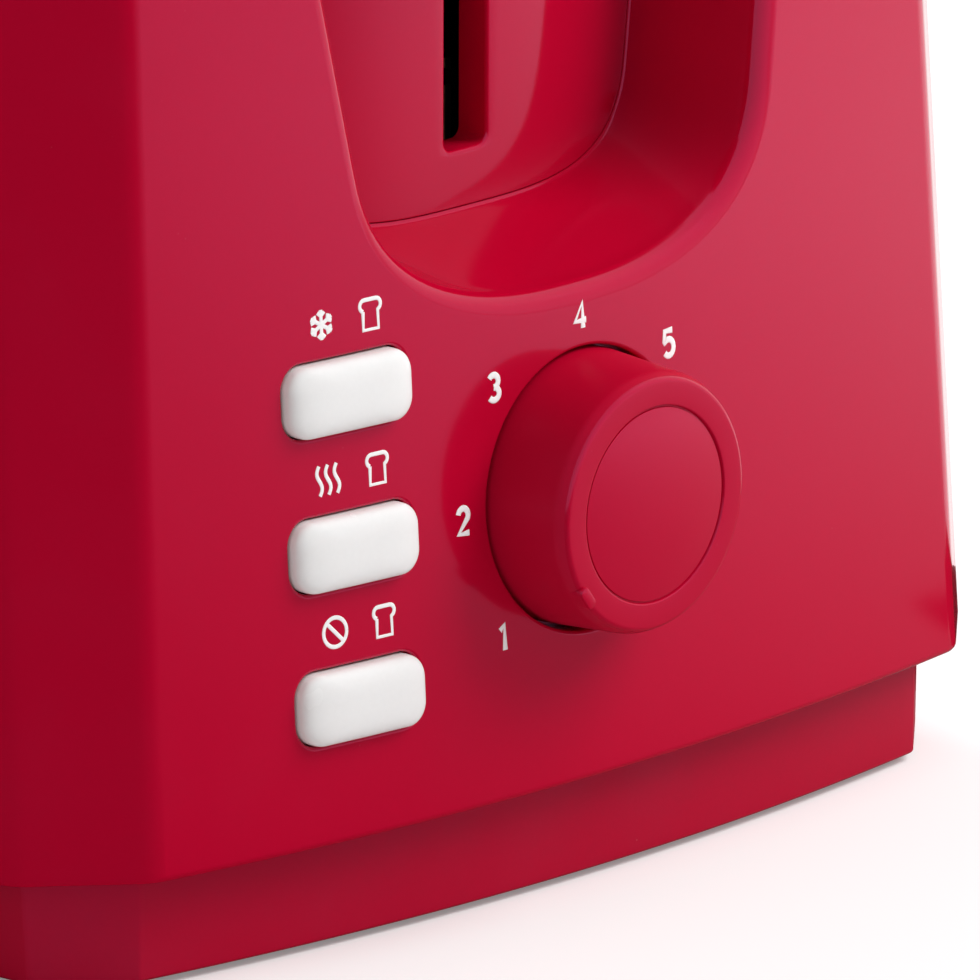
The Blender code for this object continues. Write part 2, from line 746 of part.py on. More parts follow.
panel_screw_z = (LEVER_SLOT_BOTTOM + arm_top) / 2
panel_edge = max(x for x, z in recess_outline(1, 0, panel_screw_z))
panel_ear = 2 * SMALL_SCREW_HEAD_RADIUS
panel_screw_x = panel_edge + BODY_WALL + SMALL_SCREW_HEAD_RADIUS
panel_screw_front = panel_y(panel_screw_x) + flange_depth
for side, sx in (("left", -1), ("right", 1)):
    x = sx * panel_screw_x
    start = (x, panel_screw_front - 2 * SMALL_SCREW_LENGTH, panel_screw_z)
    end = (x, panel_screw_front, panel_screw_z)
    boss = cylinder(f"panel_boss_{side}", start, end, panel_ear / 2 + GAP, cutters)
    cut(boss, recess_wall_end)
    hole_start = (x, panel_screw_front - SMALL_SCREW_LENGTH, panel_screw_z)
    hole = cylinder(f"panel_boss_hole_{side}", hole_start, end, SMALL_SCREW_RADIUS + GAP, cutters)
    join(housing, boss)
    cut(housing, hole)
dress(housing, RED, 0.3)


# Lever panel

panel_top = deck_underside - GAP
pad_prism = recess_prism("lever_panel_outline", -RUNNING_GAP, BODY_HEIGHT - RECESS_LIP)
flange = bowed_block("lever_panel_flange", flange_depth, flange_depth + PANEL_WALL, RECESS_BOTTOM)
flange_prism = recess_prism("lever_panel_flange_outline", BODY_WALL + PANEL_FLANGE, panel_top)
boolean(flange, "INTERSECT", flange_prism)
lever_panel = bowed_block("lever_panel", 0, flange_depth + PANEL_WALL, RECESS_BOTTOM, parts)
boolean(lever_panel, "INTERSECT", pad_prism)
join(lever_panel, flange)
slot_half = LEVER_SLOT_WIDTH / 2
collar = box(
    "lever_slot_collar",
    (-slot_half - LEVER_SLOT_WALL, panel_y(0) + PANEL_PAD, LEVER_SLOT_BOTTOM - LEVER_SLOT_WALL),
    (slot_half + LEVER_SLOT_WALL, panel_y(0) + LEVER_SLOT_DEPTH, lever_slot_top + LEVER_SLOT_WALL),
    cutters,
)
lever_slot = box(
    "lever_slot_cut",
    (-slot_half, front_y(0, BODY_BOTTOM), LEVER_SLOT_BOTTOM),
    (slot_half, chamber_front, lever_slot_top),
    cutters,
)
join(lever_panel, collar)
cut(lever_panel, lever_slot)
for side, sx in (("left", -1), ("right", 1)):
    x = sx * panel_screw_x
    ends = [(x, panel_screw_front + offset, panel_screw_z) for offset in (-OVERRUN, 2 * OVERRUN)]
    hole = cylinder(f"panel_hole_{side}", *ends, SMALL_SCREW_RADIUS + GAP, cutters)
    cut(lever_panel, hole)
dress(lever_panel, RED, 0.25)


def screw_piece(name, seat, towards, radius, head_radius, head_height, length):
    """A round-headed screw whose head sits on seat and whose shank runs away from towards."""
    profile = [
        (0, head_height),
        (head_radius * SCREW_CROWN_SHARE, head_height),
        (head_radius, head_height / 2),
        (head_radius, 0),
        (radius, 0),
        (radius, radius - length),
        (0, -length),
    ]
    return dress(turned(name, profile, seat, towards, parts, SMALL_SIDES), STEEL, 0.35, 1)


for side, sx in (("left", -1), ("right", 1)):
    back = panel_y(panel_screw_x + SMALL_SCREW_HEAD_RADIUS) + flange_depth + PANEL_WALL + GAP
    screw_piece(
        f"panel_screw_{side}",
        (sx * panel_screw_x, back, panel_screw_z),
        (0, 1, 0),
        SMALL_SCREW_RADIUS,
        SMALL_SCREW_HEAD_RADIUS,
        SMALL_SCREW_HEAD_HEIGHT,
        SMALL_SCREW_LENGTH - GAP,
    )


# Base, with the rails of its crumb tray, its posts, its foot sockets and its vents

ledge_z = BODY_BOTTOM + BASE_LEDGE
rim_inset = BODY_WALL + GAP
rim_top = ledge_z + BASE_RIM
base_plinth = loft(
    "base_plinth",
    [
        plan(FOOT_STANDOFF, BASE_INSET + BASE_DRAFT),
        plan(ledge_z, BASE_INSET),
        plan(ledge_z, rim_inset),
        plan(rim_top, rim_inset),
    ],
)
hollow = loft(
    "base_hollow",
    [
        plan(floor_top, BASE_INSET + BASE_DRAFT + BASE_WALL),
        plan(ledge_z + BASE_WALL, BASE_INSET + BASE_WALL),
        plan(ledge_z + BASE_WALL + GAP, rim_inset + BASE_WALL),
        plan(rim_top + OVERRUN, rim_inset + BASE_WALL),
    ],
    cutters,
)
cut(base_plinth, hollow)

rail_inner = chamber_half_width - RAIL_WIDTH / 2
rail_outer = chamber_half_width + RAIL_WIDTH / 2
tray_half = rail_inner - RUNNING_GAP
base_end = half_length(BODY_BOTTOM) - BASE_INSET
rail_front = chamber_front - PLATE_THICKNESS - BASE_WALL
for side, sx in (("left", -1), ("right", 1)):
    low = (min(sx * rail_inner, sx * rail_outer), rail_front, floor_top - GAP)
    high = (max(sx * rail_inner, sx * rail_outer), chamber_rear + PLATE_THICKNESS + BASE_WALL, RAIL_TOP)
    join(base_plinth, box(f"rail_{side}", low, high, cutters))

tray_bottom = floor_top + GAP
tray_top = tray_bottom + TRAY_HEIGHT
mouth_top = tray_top + RUNNING_GAP
mouth = box(
    "tray_mouth",
    (-rail_inner, chamber_rear + 2 * BASE_WALL, floor_top),
    (rail_inner, half_length(BODY_BOTTOM) + OVERRUN, mouth_top),
    cutters,
)
cut(base_plinth, mouth)

for corner, sx, sy in corners:
    x, y = sx * post_x, sy * post_y
    post_foot = (x, y, FOOT_STANDOFF + BASE_FLOOR / 2)
    post = cylinder(f"post_{corner}", post_foot, (x, y, POST_TOP), POST_RADIUS, cutters)
    join(base_plinth, post)
    well = cylinder(
        f"screw_well_{corner}",
        (x, y, FOOT_STANDOFF - OVERRUN),
        (x, y, FOOT_STANDOFF + SCREW_HEAD_HEIGHT + 2 * GAP),
        SCREW_HEAD_RADIUS + GAP,
        cutters,
    )
    ends = [(x, y, FOOT_STANDOFF), (x, y, POST_TOP + OVERRUN)]
    hole = cylinder(f"screw_hole_{corner}", *ends, SCREW_RADIUS + GAP, cutters)
    cut(base_plinth, well, hole)
    head_seat = (x, y, FOOT_STANDOFF + SCREW_HEAD_HEIGHT + GAP)
    screw_piece(
        f"base_screw_{corner}",
        head_seat,
        (0, 0, -1),
        SCREW_RADIUS,
        SCREW_HEAD_RADIUS,
        SCREW_HEAD_HEIGHT,
        SCREW_LENGTH,
    )
    fx, fy = sx * foot_x, sy * foot_y
    socket = cylinder(
        f"foot_socket_{corner}",
        (fx, fy, FOOT_STANDOFF - OVERRUN),
        (fx, fy, FOOT_STANDOFF + FOOT_SINK + GAP),
        FOOT_RADIUS + GAP,
        cutters,
        ROUND_SIDES,
    )
    cut(base_plinth, socket)
    foot_top = FOOT_STANDOFF + FOOT_SINK
    foot = turned(
        f"foot_{corner}",
        [
            (0, foot_top),
            (FOOT_RADIUS, foot_top),
            (FOOT_RADIUS, FOOT_STANDOFF / 2),
            (FOOT_RADIUS - FOOT_STANDOFF / 2, 0),
            (0, 0),
        ],
        (fx, fy, 0),
        (0, 0, 1),
    )
    dress(foot, DARK, 0.9)

vent_y = (rail_front + front_y(0, BODY_BOTTOM) + BASE_INSET + BASE_WALL) / 2
for number in range(VENT_COUNT):
    x = (number - (VENT_COUNT - 1) / 2) * VENT_PITCH
    low = (x - VENT_WIDTH / 2, vent_y - VENT_LENGTH / 2, FOOT_STANDOFF - OVERRUN)
    high = (x + VENT_WIDTH / 2, vent_y + VENT_LENGTH / 2, floor_top + OVERRUN)
    cut(base_plinth, box(f"vent_{number + 1}", low, high, cutters))

gland_z = (floor_top + ledge_z) / 2
gland_wall = -front_y(gland_x, BODY_BOTTOM) - BASE_INSET
gland_hole = cylinder(
    "gland_hole",
    (gland_x, gland_wall - 2 * BASE_WALL - OVERRUN, gland_z),
    (gland_x, gland_wall + OVERRUN, gland_z),
    GLAND_RADIUS + GAP,
    cutters,
    ROUND_SIDES,
)
cut(base_plinth, gland_hole)
dress(base_plinth, RED, 0.35)

gland_slope = 2 * GLAND_FLANGE_RADIUS * gland_x / FRONT_BOW
gland_inner = -(BASE_WALL + BASE_DRAFT + gland_slope + 2 * GAP)
cord_gland = turned(
    "cord_gland",
    [
        (GLAND_BORE, GLAND_FLANGE),
        (GLAND_FLANGE_RADIUS, GLAND_FLANGE),
        (GLAND_FLANGE_RADIUS, 0),
        (GLAND_RADIUS, 0),
        (GLAND_RADIUS, gland_inner),
        (GLAND_FLANGE_RADIUS, gland_inner),
        (GLAND_FLANGE_RADIUS, gland_inner - GLAND_FLANGE),
        (GLAND_BORE, gland_inner - GLAND_FLANGE),
        (GLAND_BORE, GLAND_FLANGE),
    ],
    (gland_x, gland_wall + gland_slope / 2 + GAP, gland_z),
    (0, 1, 0),
)
dress(cord_gland, DARK, 0.6)


# Crumb tray, an open pan with a pull at the rear

tray_front = chamber_front + TRAY_FRONT
tray_rear = base_end - bow(tray_half, FRONT_BOW) - BASE_DRAFT - BASE_WALL
tray = box("crumb_tray", (-tray_half, tray_front, tray_bottom), (tray_half, tray_rear, tray_top))
tray_hollow = box(
    "tray_hollow",
    (TRAY_WALL - tray_half, tray_front + TRAY_WALL, tray_bottom + TRAY_WALL),
    (tray_half - TRAY_WALL, tray_rear - TRAY_GRIP, tray_top + OVERRUN),
    cutters,
)
pull_bottom = tray_bottom + TRAY_WALL
pull_end = half_length(BODY_BOTTOM) - BOTTOM_EDGE_RADIUS
pull = box(
    "tray_pull",
    (-TRAY_PULL_WIDTH / 2, tray_rear - TRAY_GRIP / 2, pull_bottom),
    (TRAY_PULL_WIDTH / 2, pull_end, pull_bottom + TRAY_PULL_HEIGHT),
    cutters,
)
cut(tray, tray_hollow)
join(tray, pull)
set_origin(tray, (0, tray_rear, tray_bottom))
dress(tray, STEEL, 0.4, 1)
tray_travel = half_length(BODY_BOTTOM) + TRAY_CLEAR - tray_front


# Front and rear plates of the chassis, with the slots that the racks run in

rack_slot_bottom = rack_bottom - lever_travel - LEVER_MARGIN
rack_slot_top = rack_top + LEVER_MARGIN
rack_slot_half = RACK_THICKNESS / 2 + RACK_SLOT_MARGIN


def chassis_plate(name, near, far):
    plate = box(name, (-plate_half_width, near, chamber_bottom), (plate_half_width, far, chamber_top))
    for side, x in slot_centres:
        low = (x - rack_slot_half, near - OVERRUN, rack_slot_bottom)
        high = (x + rack_slot_half, far + OVERRUN, rack_slot_top)
        cut(plate, box(f"{name}_rack_slot_{side}", low, high, cutters))
        for inner, sx in (("outer", 1), ("inner", -1)):
            gx = x + math.copysign(guard_offset, x) * sx
            ends = [(gx, y, GUARD_PIVOT) for y in (near - OVERRUN, far + OVERRUN)]
            hole = cylinder(f"{name}_pivot_hole_{side}_{inner}", *ends, GUARD_WIRE + RUNNING_GAP / 2, cutters)
            cut(plate, hole)
    return plate


front_plate = chassis_plate("front_plate", chamber_front - PLATE_THICKNESS, chamber_front)
rear_plate = chassis_plate("rear_plate", chamber_rear, chamber_rear + PLATE_THICKNESS)
dress(rear_plate, STEEL, 0.35, 1)

# Tabs of the front plate: the upper holds the rod and the spring, the lower the rod and the magnet
plate_front = chamber_front - PLATE_THICKNESS
tab_reach = rod_y - SLEEVE_SIZE / 2
lower_tab = rack_bottom - lever_travel - LEVER_MARGIN - 4 * TAB_THICKNESS
upper_tab = arm_top + LEVER_MARGIN + TAB_THICKNESS
tabs = (
    ("lower", -MAGNET_OFFSET - MAGNET_RADIUS, SLEEVE_SIZE / 2, lower_tab),
    ("upper", -SLEEVE_SIZE / 2, SPRING_OFFSET + SPRING_RADIUS, upper_tab),
)
for name, low_x, high_x, z in tabs:
    low = (low_x, tab_reach, z)
    tab = box(f"{name}_tab", low, (high_x, chamber_front - PLATE_THICKNESS / 2, z + TAB_THICKNESS), cutters)
    ends = [(0, rod_y, z + offset) for offset in (-OVERRUN, TAB_THICKNESS + OVERRUN)]
    hole = cylinder(f"{name}_tab_hole", *ends, ROD_RADIUS + GAP, cutters)
    join(front_plate, tab)
    cut(front_plate, hole)
dress(front_plate, STEEL, 0.35, 1)

rod_ends = [(0, rod_y, lower_tab - TAB_THICKNESS), (0, rod_y, upper_tab + 2 * TAB_THICKNESS)]
guide_rod = cylinder("guide_rod", *rod_ends, ROD_RADIUS)
dress(guide_rod, STEEL, 0.2, 1)

for side, sx in (("left", -1), ("right", 1)):
    inner = sx * chamber_half_width
    outer = sx * (chamber_half_width + PLATE_THICKNESS)
    low = (min(inner, outer), chamber_front + GAP, chamber_bottom)
    high = (max(inner, outer), chamber_rear - GAP, chamber_top)
    reflector = box(f"side_reflector_{side}", low, high)
    dress(reflector, STEEL, 0.2, 1)


# Carriage: a sleeve on the rod, the arm to the handle, the cross bar to the racks, and two tabs

carriage = box(
    "carriage",
    (-SLEEVE_SIZE / 2, rod_y - SLEEVE_SIZE / 2, rack_bottom),
    (SLEEVE_SIZE / 2, rod_y + SLEEVE_SIZE / 2, arm_top),
)
handle_back = panel_y(0) - HANDLE_CLEARANCE
arm = box(
    "carriage_arm",
    (-ARM_THICKNESS / 2, handle_back - HANDLE_REACH, arm_bottom),
    (ARM_THICKNESS / 2, rod_y, arm_top),
    cutters,
)
bar_back = plate_front - RUNNING_GAP
bar = box(
    "carriage_bar",
    (-slot_spacing / 2 - RACK_THICKNESS * 2, bar_back - CROSS_BAR_THICKNESS, rack_bottom),
    (slot_spacing / 2 + RACK_THICKNESS * 2, bar_back, rack_top),
    cutters,
)
bar_link = box(
    "carriage_bar_link",
    (-SLEEVE_SIZE / 4, rod_y, rack_bottom),
    (SLEEVE_SIZE / 4, bar_back - CROSS_BAR_THICKNESS / 2, rack_top),
    cutters,
)
spring_tab = box(
    "carriage_spring_tab",
    (0, rod_y - SPRING_RADIUS, rack_bottom),
    (SPRING_OFFSET + SPRING_RADIUS, rod_y + SPRING_RADIUS, rack_bottom + TAB_THICKNESS),
    cutters,
)
keeper_tab_z = rack_bottom + KEEPER_LIFT
keeper_tab = box(
    "carriage_keeper_tab",
    (-MAGNET_OFFSET - KEEPER_RADIUS, rod_y - SLEEVE_SIZE / 4, keeper_tab_z),
    (0, rod_y + SLEEVE_SIZE / 4, keeper_tab_z + TAB_THICKNESS),
    cutters,
)
bore_ends = [(0, rod_y, rack_bottom - OVERRUN), (0, rod_y, arm_top + OVERRUN)]
rod_bore = cylinder("carriage_bore", *bore_ends, ROD_RADIUS + GAP, cutters)
join(carriage, arm, bar_link, bar, spring_tab, keeper_tab)
cut(carriage, rod_bore)
set_origin(carriage, (0, rod_y, rack_bottom))
dress(carriage, STEEL, 0.35, 1)

keeper_top = keeper_tab_z - GAP
keeper = cylinder(
    "armature",
    (-MAGNET_OFFSET, rod_y, keeper_top - KEEPER_THICKNESS),
    (-MAGNET_OFFSET, rod_y, keeper_top),
    KEEPER_RADIUS,
    sides=ROUND_SIDES,
)
dress(keeper, STEEL, 0.3, 1)

# Electromagnet on the lower tab: a coil between two cheeks, with its core showing on top
magnet_bottom = lower_tab + TAB_THICKNESS + GAP
magnet_top = keeper_top - KEEPER_THICKNESS - lever_travel - MAGNET_CLEARANCE
cheek = MAGNET_RADIUS / 5
magnet = turned(
    "electromagnet",
    [
        (0, magnet_top),
        (MAGNET_CORE_RADIUS, magnet_top),
        (MAGNET_CORE_RADIUS, magnet_top - cheek),
        (MAGNET_RADIUS, magnet_top - cheek),
        (MAGNET_RADIUS, magnet_top - 2 * cheek),
        (MAGNET_RADIUS - cheek / 2, magnet_top - 2 * cheek),
        (MAGNET_RADIUS - cheek / 2, magnet_bottom + cheek),
        (MAGNET_RADIUS, magnet_bottom + cheek),
        (MAGNET_RADIUS, magnet_bottom),
        (0, magnet_bottom),
    ],
    (-MAGNET_OFFSET, rod_y, 0),
    (0, 0, 1),
    sides=SMALL_SIDES,
)
dress(magnet, DARK, 0.5)


# Lever handle: a paddle on the end of the arm, bowed like the panel behind it

def handle_section(x):
    """The handle's outline in Y and Z at one place across its width."""
    over = min(HANDLE_CORNER, max(0, abs(x) - (handle_width / 2 - HANDLE_CORNER)))
    height = HANDLE_HEIGHT - 2 * HANDLE_CORNER + 2 * math.sqrt(HANDLE_CORNER**2 - over**2)
    middle_y = handle_back + bow(x, PANEL_BOW) - HANDLE_DEPTH / 2
    middle_z = (arm_bottom + arm_top) / 2
    outline = rounded_rectangle(HANDLE_DEPTH, height, HANDLE_ROUND)
    return [(x, middle_y + py, middle_z + pz) for py, pz in outline]


handle_flat = handle_width / 2 - HANDLE_CORNER
handle_right = [handle_flat * step / HANDLE_RUNS for step in range(1, HANDLE_RUNS)]
for step in range(EDGE_STEPS + 1):
    handle_right.append(handle_flat + HANDLE_CORNER * math.sin(math.pi / 2 * step / EDGE_STEPS))
handle_places = [-x for x in reversed(handle_right)] + [0] + handle_right
lever_handle = loft("lever_handle", [handle_section(x) for x in handle_places])
arm_socket = box(
    "arm_socket",
    (-ARM_THICKNESS / 2 - GAP, handle_back - HANDLE_REACH - GAP, arm_bottom - GAP),
    (ARM_THICKNESS / 2 + GAP, handle_back + OVERRUN, arm_top + GAP),
    cutters,
)
cut(lever_handle, arm_socket)
set_origin(lever_handle, (0, rod_y, rack_bottom))
dress(lever_handle, RED, 0.25)


# Bread racks: a toothed strip under each slot, through both plates

for side, x in slot_centres:
    low = (x - RACK_THICKNESS / 2, bar_back + GAP, rack_bottom)
    high = (x + RACK_THICKNESS / 2, chamber_rear + PLATE_THICKNESS + RACK_TAIL, rack_top)
    rack = box(f"bread_rack_{side}", low, high)
    for number in range(RACK_FINS):
        y = chamber_middle + (number - (RACK_FINS - 1) / 2) * slot_length / RACK_FINS
        low = (x - RACK_FIN_WIDTH / 2, y - RACK_FIN_THICKNESS / 2, rack_top - RACK_FIN_HEIGHT)
        high = (x + RACK_FIN_WIDTH / 2, y + RACK_FIN_THICKNESS / 2, rack_top + GAP)
        join(rack, box(f"bread_rack_{side}_fin_{number + 1}", low, high, cutters))
    set_origin(rack, (0, rod_y, rack_bottom))
    dress(rack, STEEL, 0.35, 1)


# Lift spring, drawn out as the carriage goes down

spring_bottom = rack_bottom + TAB_THICKNESS + GAP
spring_top = upper_tab - GAP
spring_points = [(SPRING_OFFSET, rod_y, spring_bottom), (SPRING_OFFSET, rod_y, spring_bottom + SPRING_EYE)]
coil_height = spring_top - spring_bottom - 2 * SPRING_EYE
for step in range(SPRING_TURNS * TURN_POINTS + 1):
    angle = 2 * math.pi * step / TURN_POINTS
    reach = SPRING_RADIUS - SPRING_WIRE
    z = spring_bottom + SPRING_EYE + coil_height * step / (SPRING_TURNS * TURN_POINTS)
    spring_points.append((SPRING_OFFSET + reach * math.cos(angle), rod_y + reach * math.sin(angle), z))
spring_points += [(SPRING_OFFSET, rod_y, spring_top - SPRING_EYE), (SPRING_OFFSET, rod_y, spring_top)]
lift_spring = wire("lift_spring", spring_points, SPRING_WIRE, resolution=0)
dress(lift_spring, STEEL, 0.3, 1)
print("lift_spring least gap between turns:", coil_height / SPRING_TURNS - 2 * SPRING_WIRE)


# Heater boards with their windings

outer_heater = slot_spacing / 2 + slot_width / 2 + HEATER_ROOM
for side, x in (("left", -outer_heater), ("centre", 0), ("right", outer_heater)):
    low = (x - HEATER_THICKNESS / 2, chamber_front + GAP, HEATER_BOTTOM)
    high = (x + HEATER_THICKNESS / 2, chamber_rear - GAP, heater_top)
    dress(box(f"heater_board_{side}", low, high), MICA, 0.7)
    out = HEATER_THICKNESS / 2 + WINDING_WIRE + GAP
    first = chamber_front + WINDING_MARGIN
    pitch = (chamber_length - 2 * WINDING_MARGIN) / WINDING_TURNS
    points = []
    for turn in range(WINDING_TURNS):
        y = first + pitch * turn
        over, under = heater_top + out, HEATER_BOTTOM - out
        points += [(x - out, y, under), (x - out, y, over)]
        points += [(x + out, y + pitch / 2, over), (x + out, y + pitch / 2, under)]
    dress(wire(f"heater_wire_{side}", points, WINDING_WIRE, resolution=0), STEEL, 0.5, 1)
    print(f"heater_wire_{side} least gap between turns:", pitch / 2 - 2 * WINDING_WIRE)


# Wire guards that centre the bread, each on a pivot wire held in both plates

for side, x in slot_centres:
    for inner, sx in (("outer", 1), ("inner", -1)):
        gx = x + math.copysign(guard_offset, x) * sx
        ends = (plate_front - RACK_TAIL / 2, chamber_rear + PLATE_THICKNESS + RACK_TAIL / 2)
        name = f"bread_guard_{side}_{inner}"
        guard = solid_wire(name, [(gx, y, GUARD_PIVOT) for y in ends], GUARD_WIRE)
        half = slot_length / 2
        loop = [
            (gx, chamber_middle - half, GUARD_PIVOT),
            (gx, chamber_middle - half, guard_top),
            (gx, chamber_middle + half, guard_top),
            (gx, chamber_middle + half, GUARD_PIVOT),
        ]
        join(guard, solid_wire(f"{name}_loop", loop, GUARD_WIRE, cutters))
        for number in range(1, GUARD_BARS):
            y = chamber_middle + half * (2 * number / GUARD_BARS - 1)
            bar_ends = [(gx, y, GUARD_PIVOT), (gx, y, guard_top)]
            bar_radius = GUARD_WIRE * GUARD_BAR_SHARE
            join(guard, solid_wire(f"{name}_bar_{number}", bar_ends, bar_radius, cutters))
        set_origin(guard, (gx, chamber_middle, GUARD_PIVOT))
        dress(guard, STEEL, 0.3, 1)


# Control board with its turning resistor and three switches

control_board = box(
    "control_board",
    (BOARD_LEFT, board_front, BOARD_BOTTOM),
    (BOARD_RIGHT, board_front + BOARD_THICKNESS, BOARD_TOP),
)
for number, (x, z) in enumerate(BOARD_POSTS, 1):
    ends = [(x, board_front + offset, z) for offset in (-OVERRUN, BOARD_THICKNESS + OVERRUN)]
    cut(control_board, cylinder(f"board_hole_{number}", *ends, SMALL_SCREW_RADIUS + GAP, cutters))
    screw_piece(
        f"board_screw_{number}",
        (x, board_front + BOARD_THICKNESS + GAP, z),
        (0, 1, 0),
        SMALL_SCREW_RADIUS,
        SMALL_SCREW_HEAD_RADIUS,
        SMALL_SCREW_HEAD_HEIGHT,
        SMALL_SCREW_LENGTH - GAP,
    )
dress(control_board, (0.10, 0.32, 0.16), 0.5)

pot_back = board_front - GAP
pot_front = pot_back - POT_DEPTH
shaft_bore = SHAFT_RADIUS + GAP
neck_front = dish_floor - RUNNING_GAP
pot = turned(
    "potentiometer",
    [
        (shaft_bore, pot_back - neck_front),
        (POT_NECK_RADIUS, pot_back - neck_front),
        (POT_NECK_RADIUS, POT_DEPTH),
        (POT_RADIUS, POT_DEPTH),
        (POT_RADIUS, 0),
        (0, 0),
        (0, POT_DEPTH / 2),
        (shaft_bore, POT_DEPTH / 2),
        (shaft_bore, pot_back - neck_front),
    ],
    (0, pot_back, KNOB_Z),
    (0, -1, 0),
)
dress(pot, STEEL, 0.4, 1)

knob_back = dish_floor - 2 * RUNNING_GAP
knob_length = knob_back - knob_face_y
shaft_inner = pot_back - POT_DEPTH / 2 - GAP
shaft_front = knob_back - SHAFT_GRIP
pot_shaft = cylinder(
    "pot_shaft", (0, shaft_inner, KNOB_Z), (0, shaft_front, KNOB_Z), SHAFT_RADIUS, sides=SMALL_SIDES
)
set_origin(pot_shaft, (0, shaft_inner, KNOB_Z))
dress(pot_shaft, STEEL, 0.3, 1)

# Knob: a hollow cap with a hub for the shaft, a ring and a crowned disc on its face, and a pointer nub
hub_back = POT_DEPTH / 4
bore_end = SHAFT_GRIP + GAP
cap_inside = knob_length - KNOB_WALL
knob_profile = []
for step in range(EDGE_STEPS + 1):
    radius = KNOB_DISC_RADIUS * step / EDGE_STEPS
    knob_profile.append((radius, knob_length - KNOB_GROOVE + KNOB_CROWN * (1 - (step / EDGE_STEPS) ** 2)))
knob_profile += [(KNOB_DISC_RADIUS + KNOB_GROOVE, knob_length)]
for step in range(EDGE_STEPS + 1):
    angle = math.pi / 2 * step / EDGE_STEPS
    radius = KNOB_FACE_RADIUS - KNOB_BEVEL * (1 - math.sin(angle))
    knob_profile.append((radius, knob_length - KNOB_BEVEL * (1 - math.cos(angle))))
knob_profile += [
    (KNOB_BASE_RADIUS, 0),
    (KNOB_BASE_RADIUS - KNOB_WALL, 0),
    (KNOB_FACE_RADIUS - KNOB_WALL, cap_inside),
    (KNOB_HUB_RADIUS, cap_inside),
    (KNOB_HUB_RADIUS, hub_back),
    (shaft_bore, hub_back),
    (shaft_bore, bore_end),
    (0, bore_end),
]
browning_knob = turned(
    "browning_knob", knob_profile, (0, knob_back, KNOB_Z), (0, -1, 0), sides=KNOB_SIDES
)
browning_knob.rotation_euler = (math.pi / 2, 0, 0)
nub_reach = KNOB_FACE_RADIUS - KNOB_NUB_SIZE / 4
nub_x = nub_reach * math.cos(KNOB_NUB_ANGLE)
nub_z = KNOB_Z + nub_reach * math.sin(KNOB_NUB_ANGLE)
nub = cylinder(
    "knob_nub",
    (nub_x, knob_face_y + KNOB_NUB_SIZE * 2, nub_z),
    (nub_x, knob_face_y + KNOB_GROOVE, nub_z),
    KNOB_NUB_SIZE / 2,
    cutters,
)
join(browning_knob, nub)
dress(browning_knob, RED, 0.25)


# Buttons, each a crowned cap with a flange behind the wall and a stem to its switch

for name, z in zip(BUTTON_NAMES, BUTTON_Z):
    switch_back = board_front - GAP
    switch_front = switch_back - SWITCH_DEPTH
    plunger_front = switch_front - PLUNGER_REACH
    half = SWITCH_SIZE / 2
    low = (BUTTON_X - half, switch_front, z - half)
    high = (BUTTON_X + half, switch_back, z + half)
    switch = box(f"{name}_switch", low, high)
    plunger = cylinder(
        f"{name}_plunger",
        (BUTTON_X, switch_back - SWITCH_DEPTH / 2, z),
        (BUTTON_X, plunger_front, z),
        PLUNGER_RADIUS,
        cutters,
    )
    join(switch, plunger)
    dress(switch, DARK, 0.5)

    flange_front = button_back[name] + GAP
    flange_back = flange_front + BUTTON_FLANGE_THICKNESS
    rings = [button_ring(z, 0, BUTTON_CORNER, lambda y, end=flange_front: end + GAP)]
    for step in range(EDGE_STEPS):
        angle = math.pi / 2 * step / EDGE_STEPS
        inset = BUTTON_CORNER / 2 * (1 - math.cos(angle))
        drop = BUTTON_CORNER / 2 * (1 - math.sin(angle)) - BUTTON_PROUD
        rings.append(button_ring(z, -inset, BUTTON_CORNER - inset, lambda y, d=drop: y + d))
    crest = BUTTON_CORNER * BUTTON_CREST_SHARE
    rings.append(button_ring(z, -crest, BUTTON_CORNER - crest, lambda y: y - BUTTON_PROUD - BUTTON_CROWN))
    button = loft(f"{name}_button", rings)
    wide = rounded_rectangle(
        BUTTON_WIDTH + 2 * BUTTON_FLANGE, BUTTON_HEIGHT + 2 * BUTTON_FLANGE, BUTTON_CORNER + BUTTON_FLANGE
    )
    flange_rings = [[(BUTTON_X + px, y, z + pz) for px, pz in wide] for y in (flange_front, flange_back)]
    stem_back = plunger_front - BUTTON_TRAVEL - GAP
    half = BUTTON_STEM / 2
    low = (BUTTON_X - half, flange_front + GAP, z - half)
    high = (BUTTON_X + half, stem_back, z + half)
    stem = box(f"{name}_stem", low, high, cutters)
    join(button, loft(f"{name}_flange", flange_rings, cutters), stem)
    set_origin(button, (BUTTON_X, flange_front, z))
    dress(button, WHITE, 0.35)


# Contact block on the front plate, and terminal block on the rear plate

contact_block = box(
    "contact_block",
    (CONTACT_X - CONTACT_WIDTH / 2, plate_front - GAP - CONTACT_DEPTH, CONTACT_BOTTOM),
    (CONTACT_X + CONTACT_WIDTH / 2, plate_front - GAP, CONTACT_TOP),
)
for number, share in enumerate(LEAF_SHARES, 1):
    y = plate_front - GAP - CONTACT_DEPTH * share
    low = (CONTACT_X - LEAF_WIDTH / 2, y - LEAF_THICKNESS / 2, CONTACT_TOP - LEAF_WIDTH)
    high = (CONTACT_X + LEAF_WIDTH / 2, y + LEAF_THICKNESS / 2, CONTACT_TOP + LEAF_WIDTH)
    join(contact_block, box(f"contact_leaf_{number}", low, high, cutters))
dress(contact_block, DARK, 0.5)

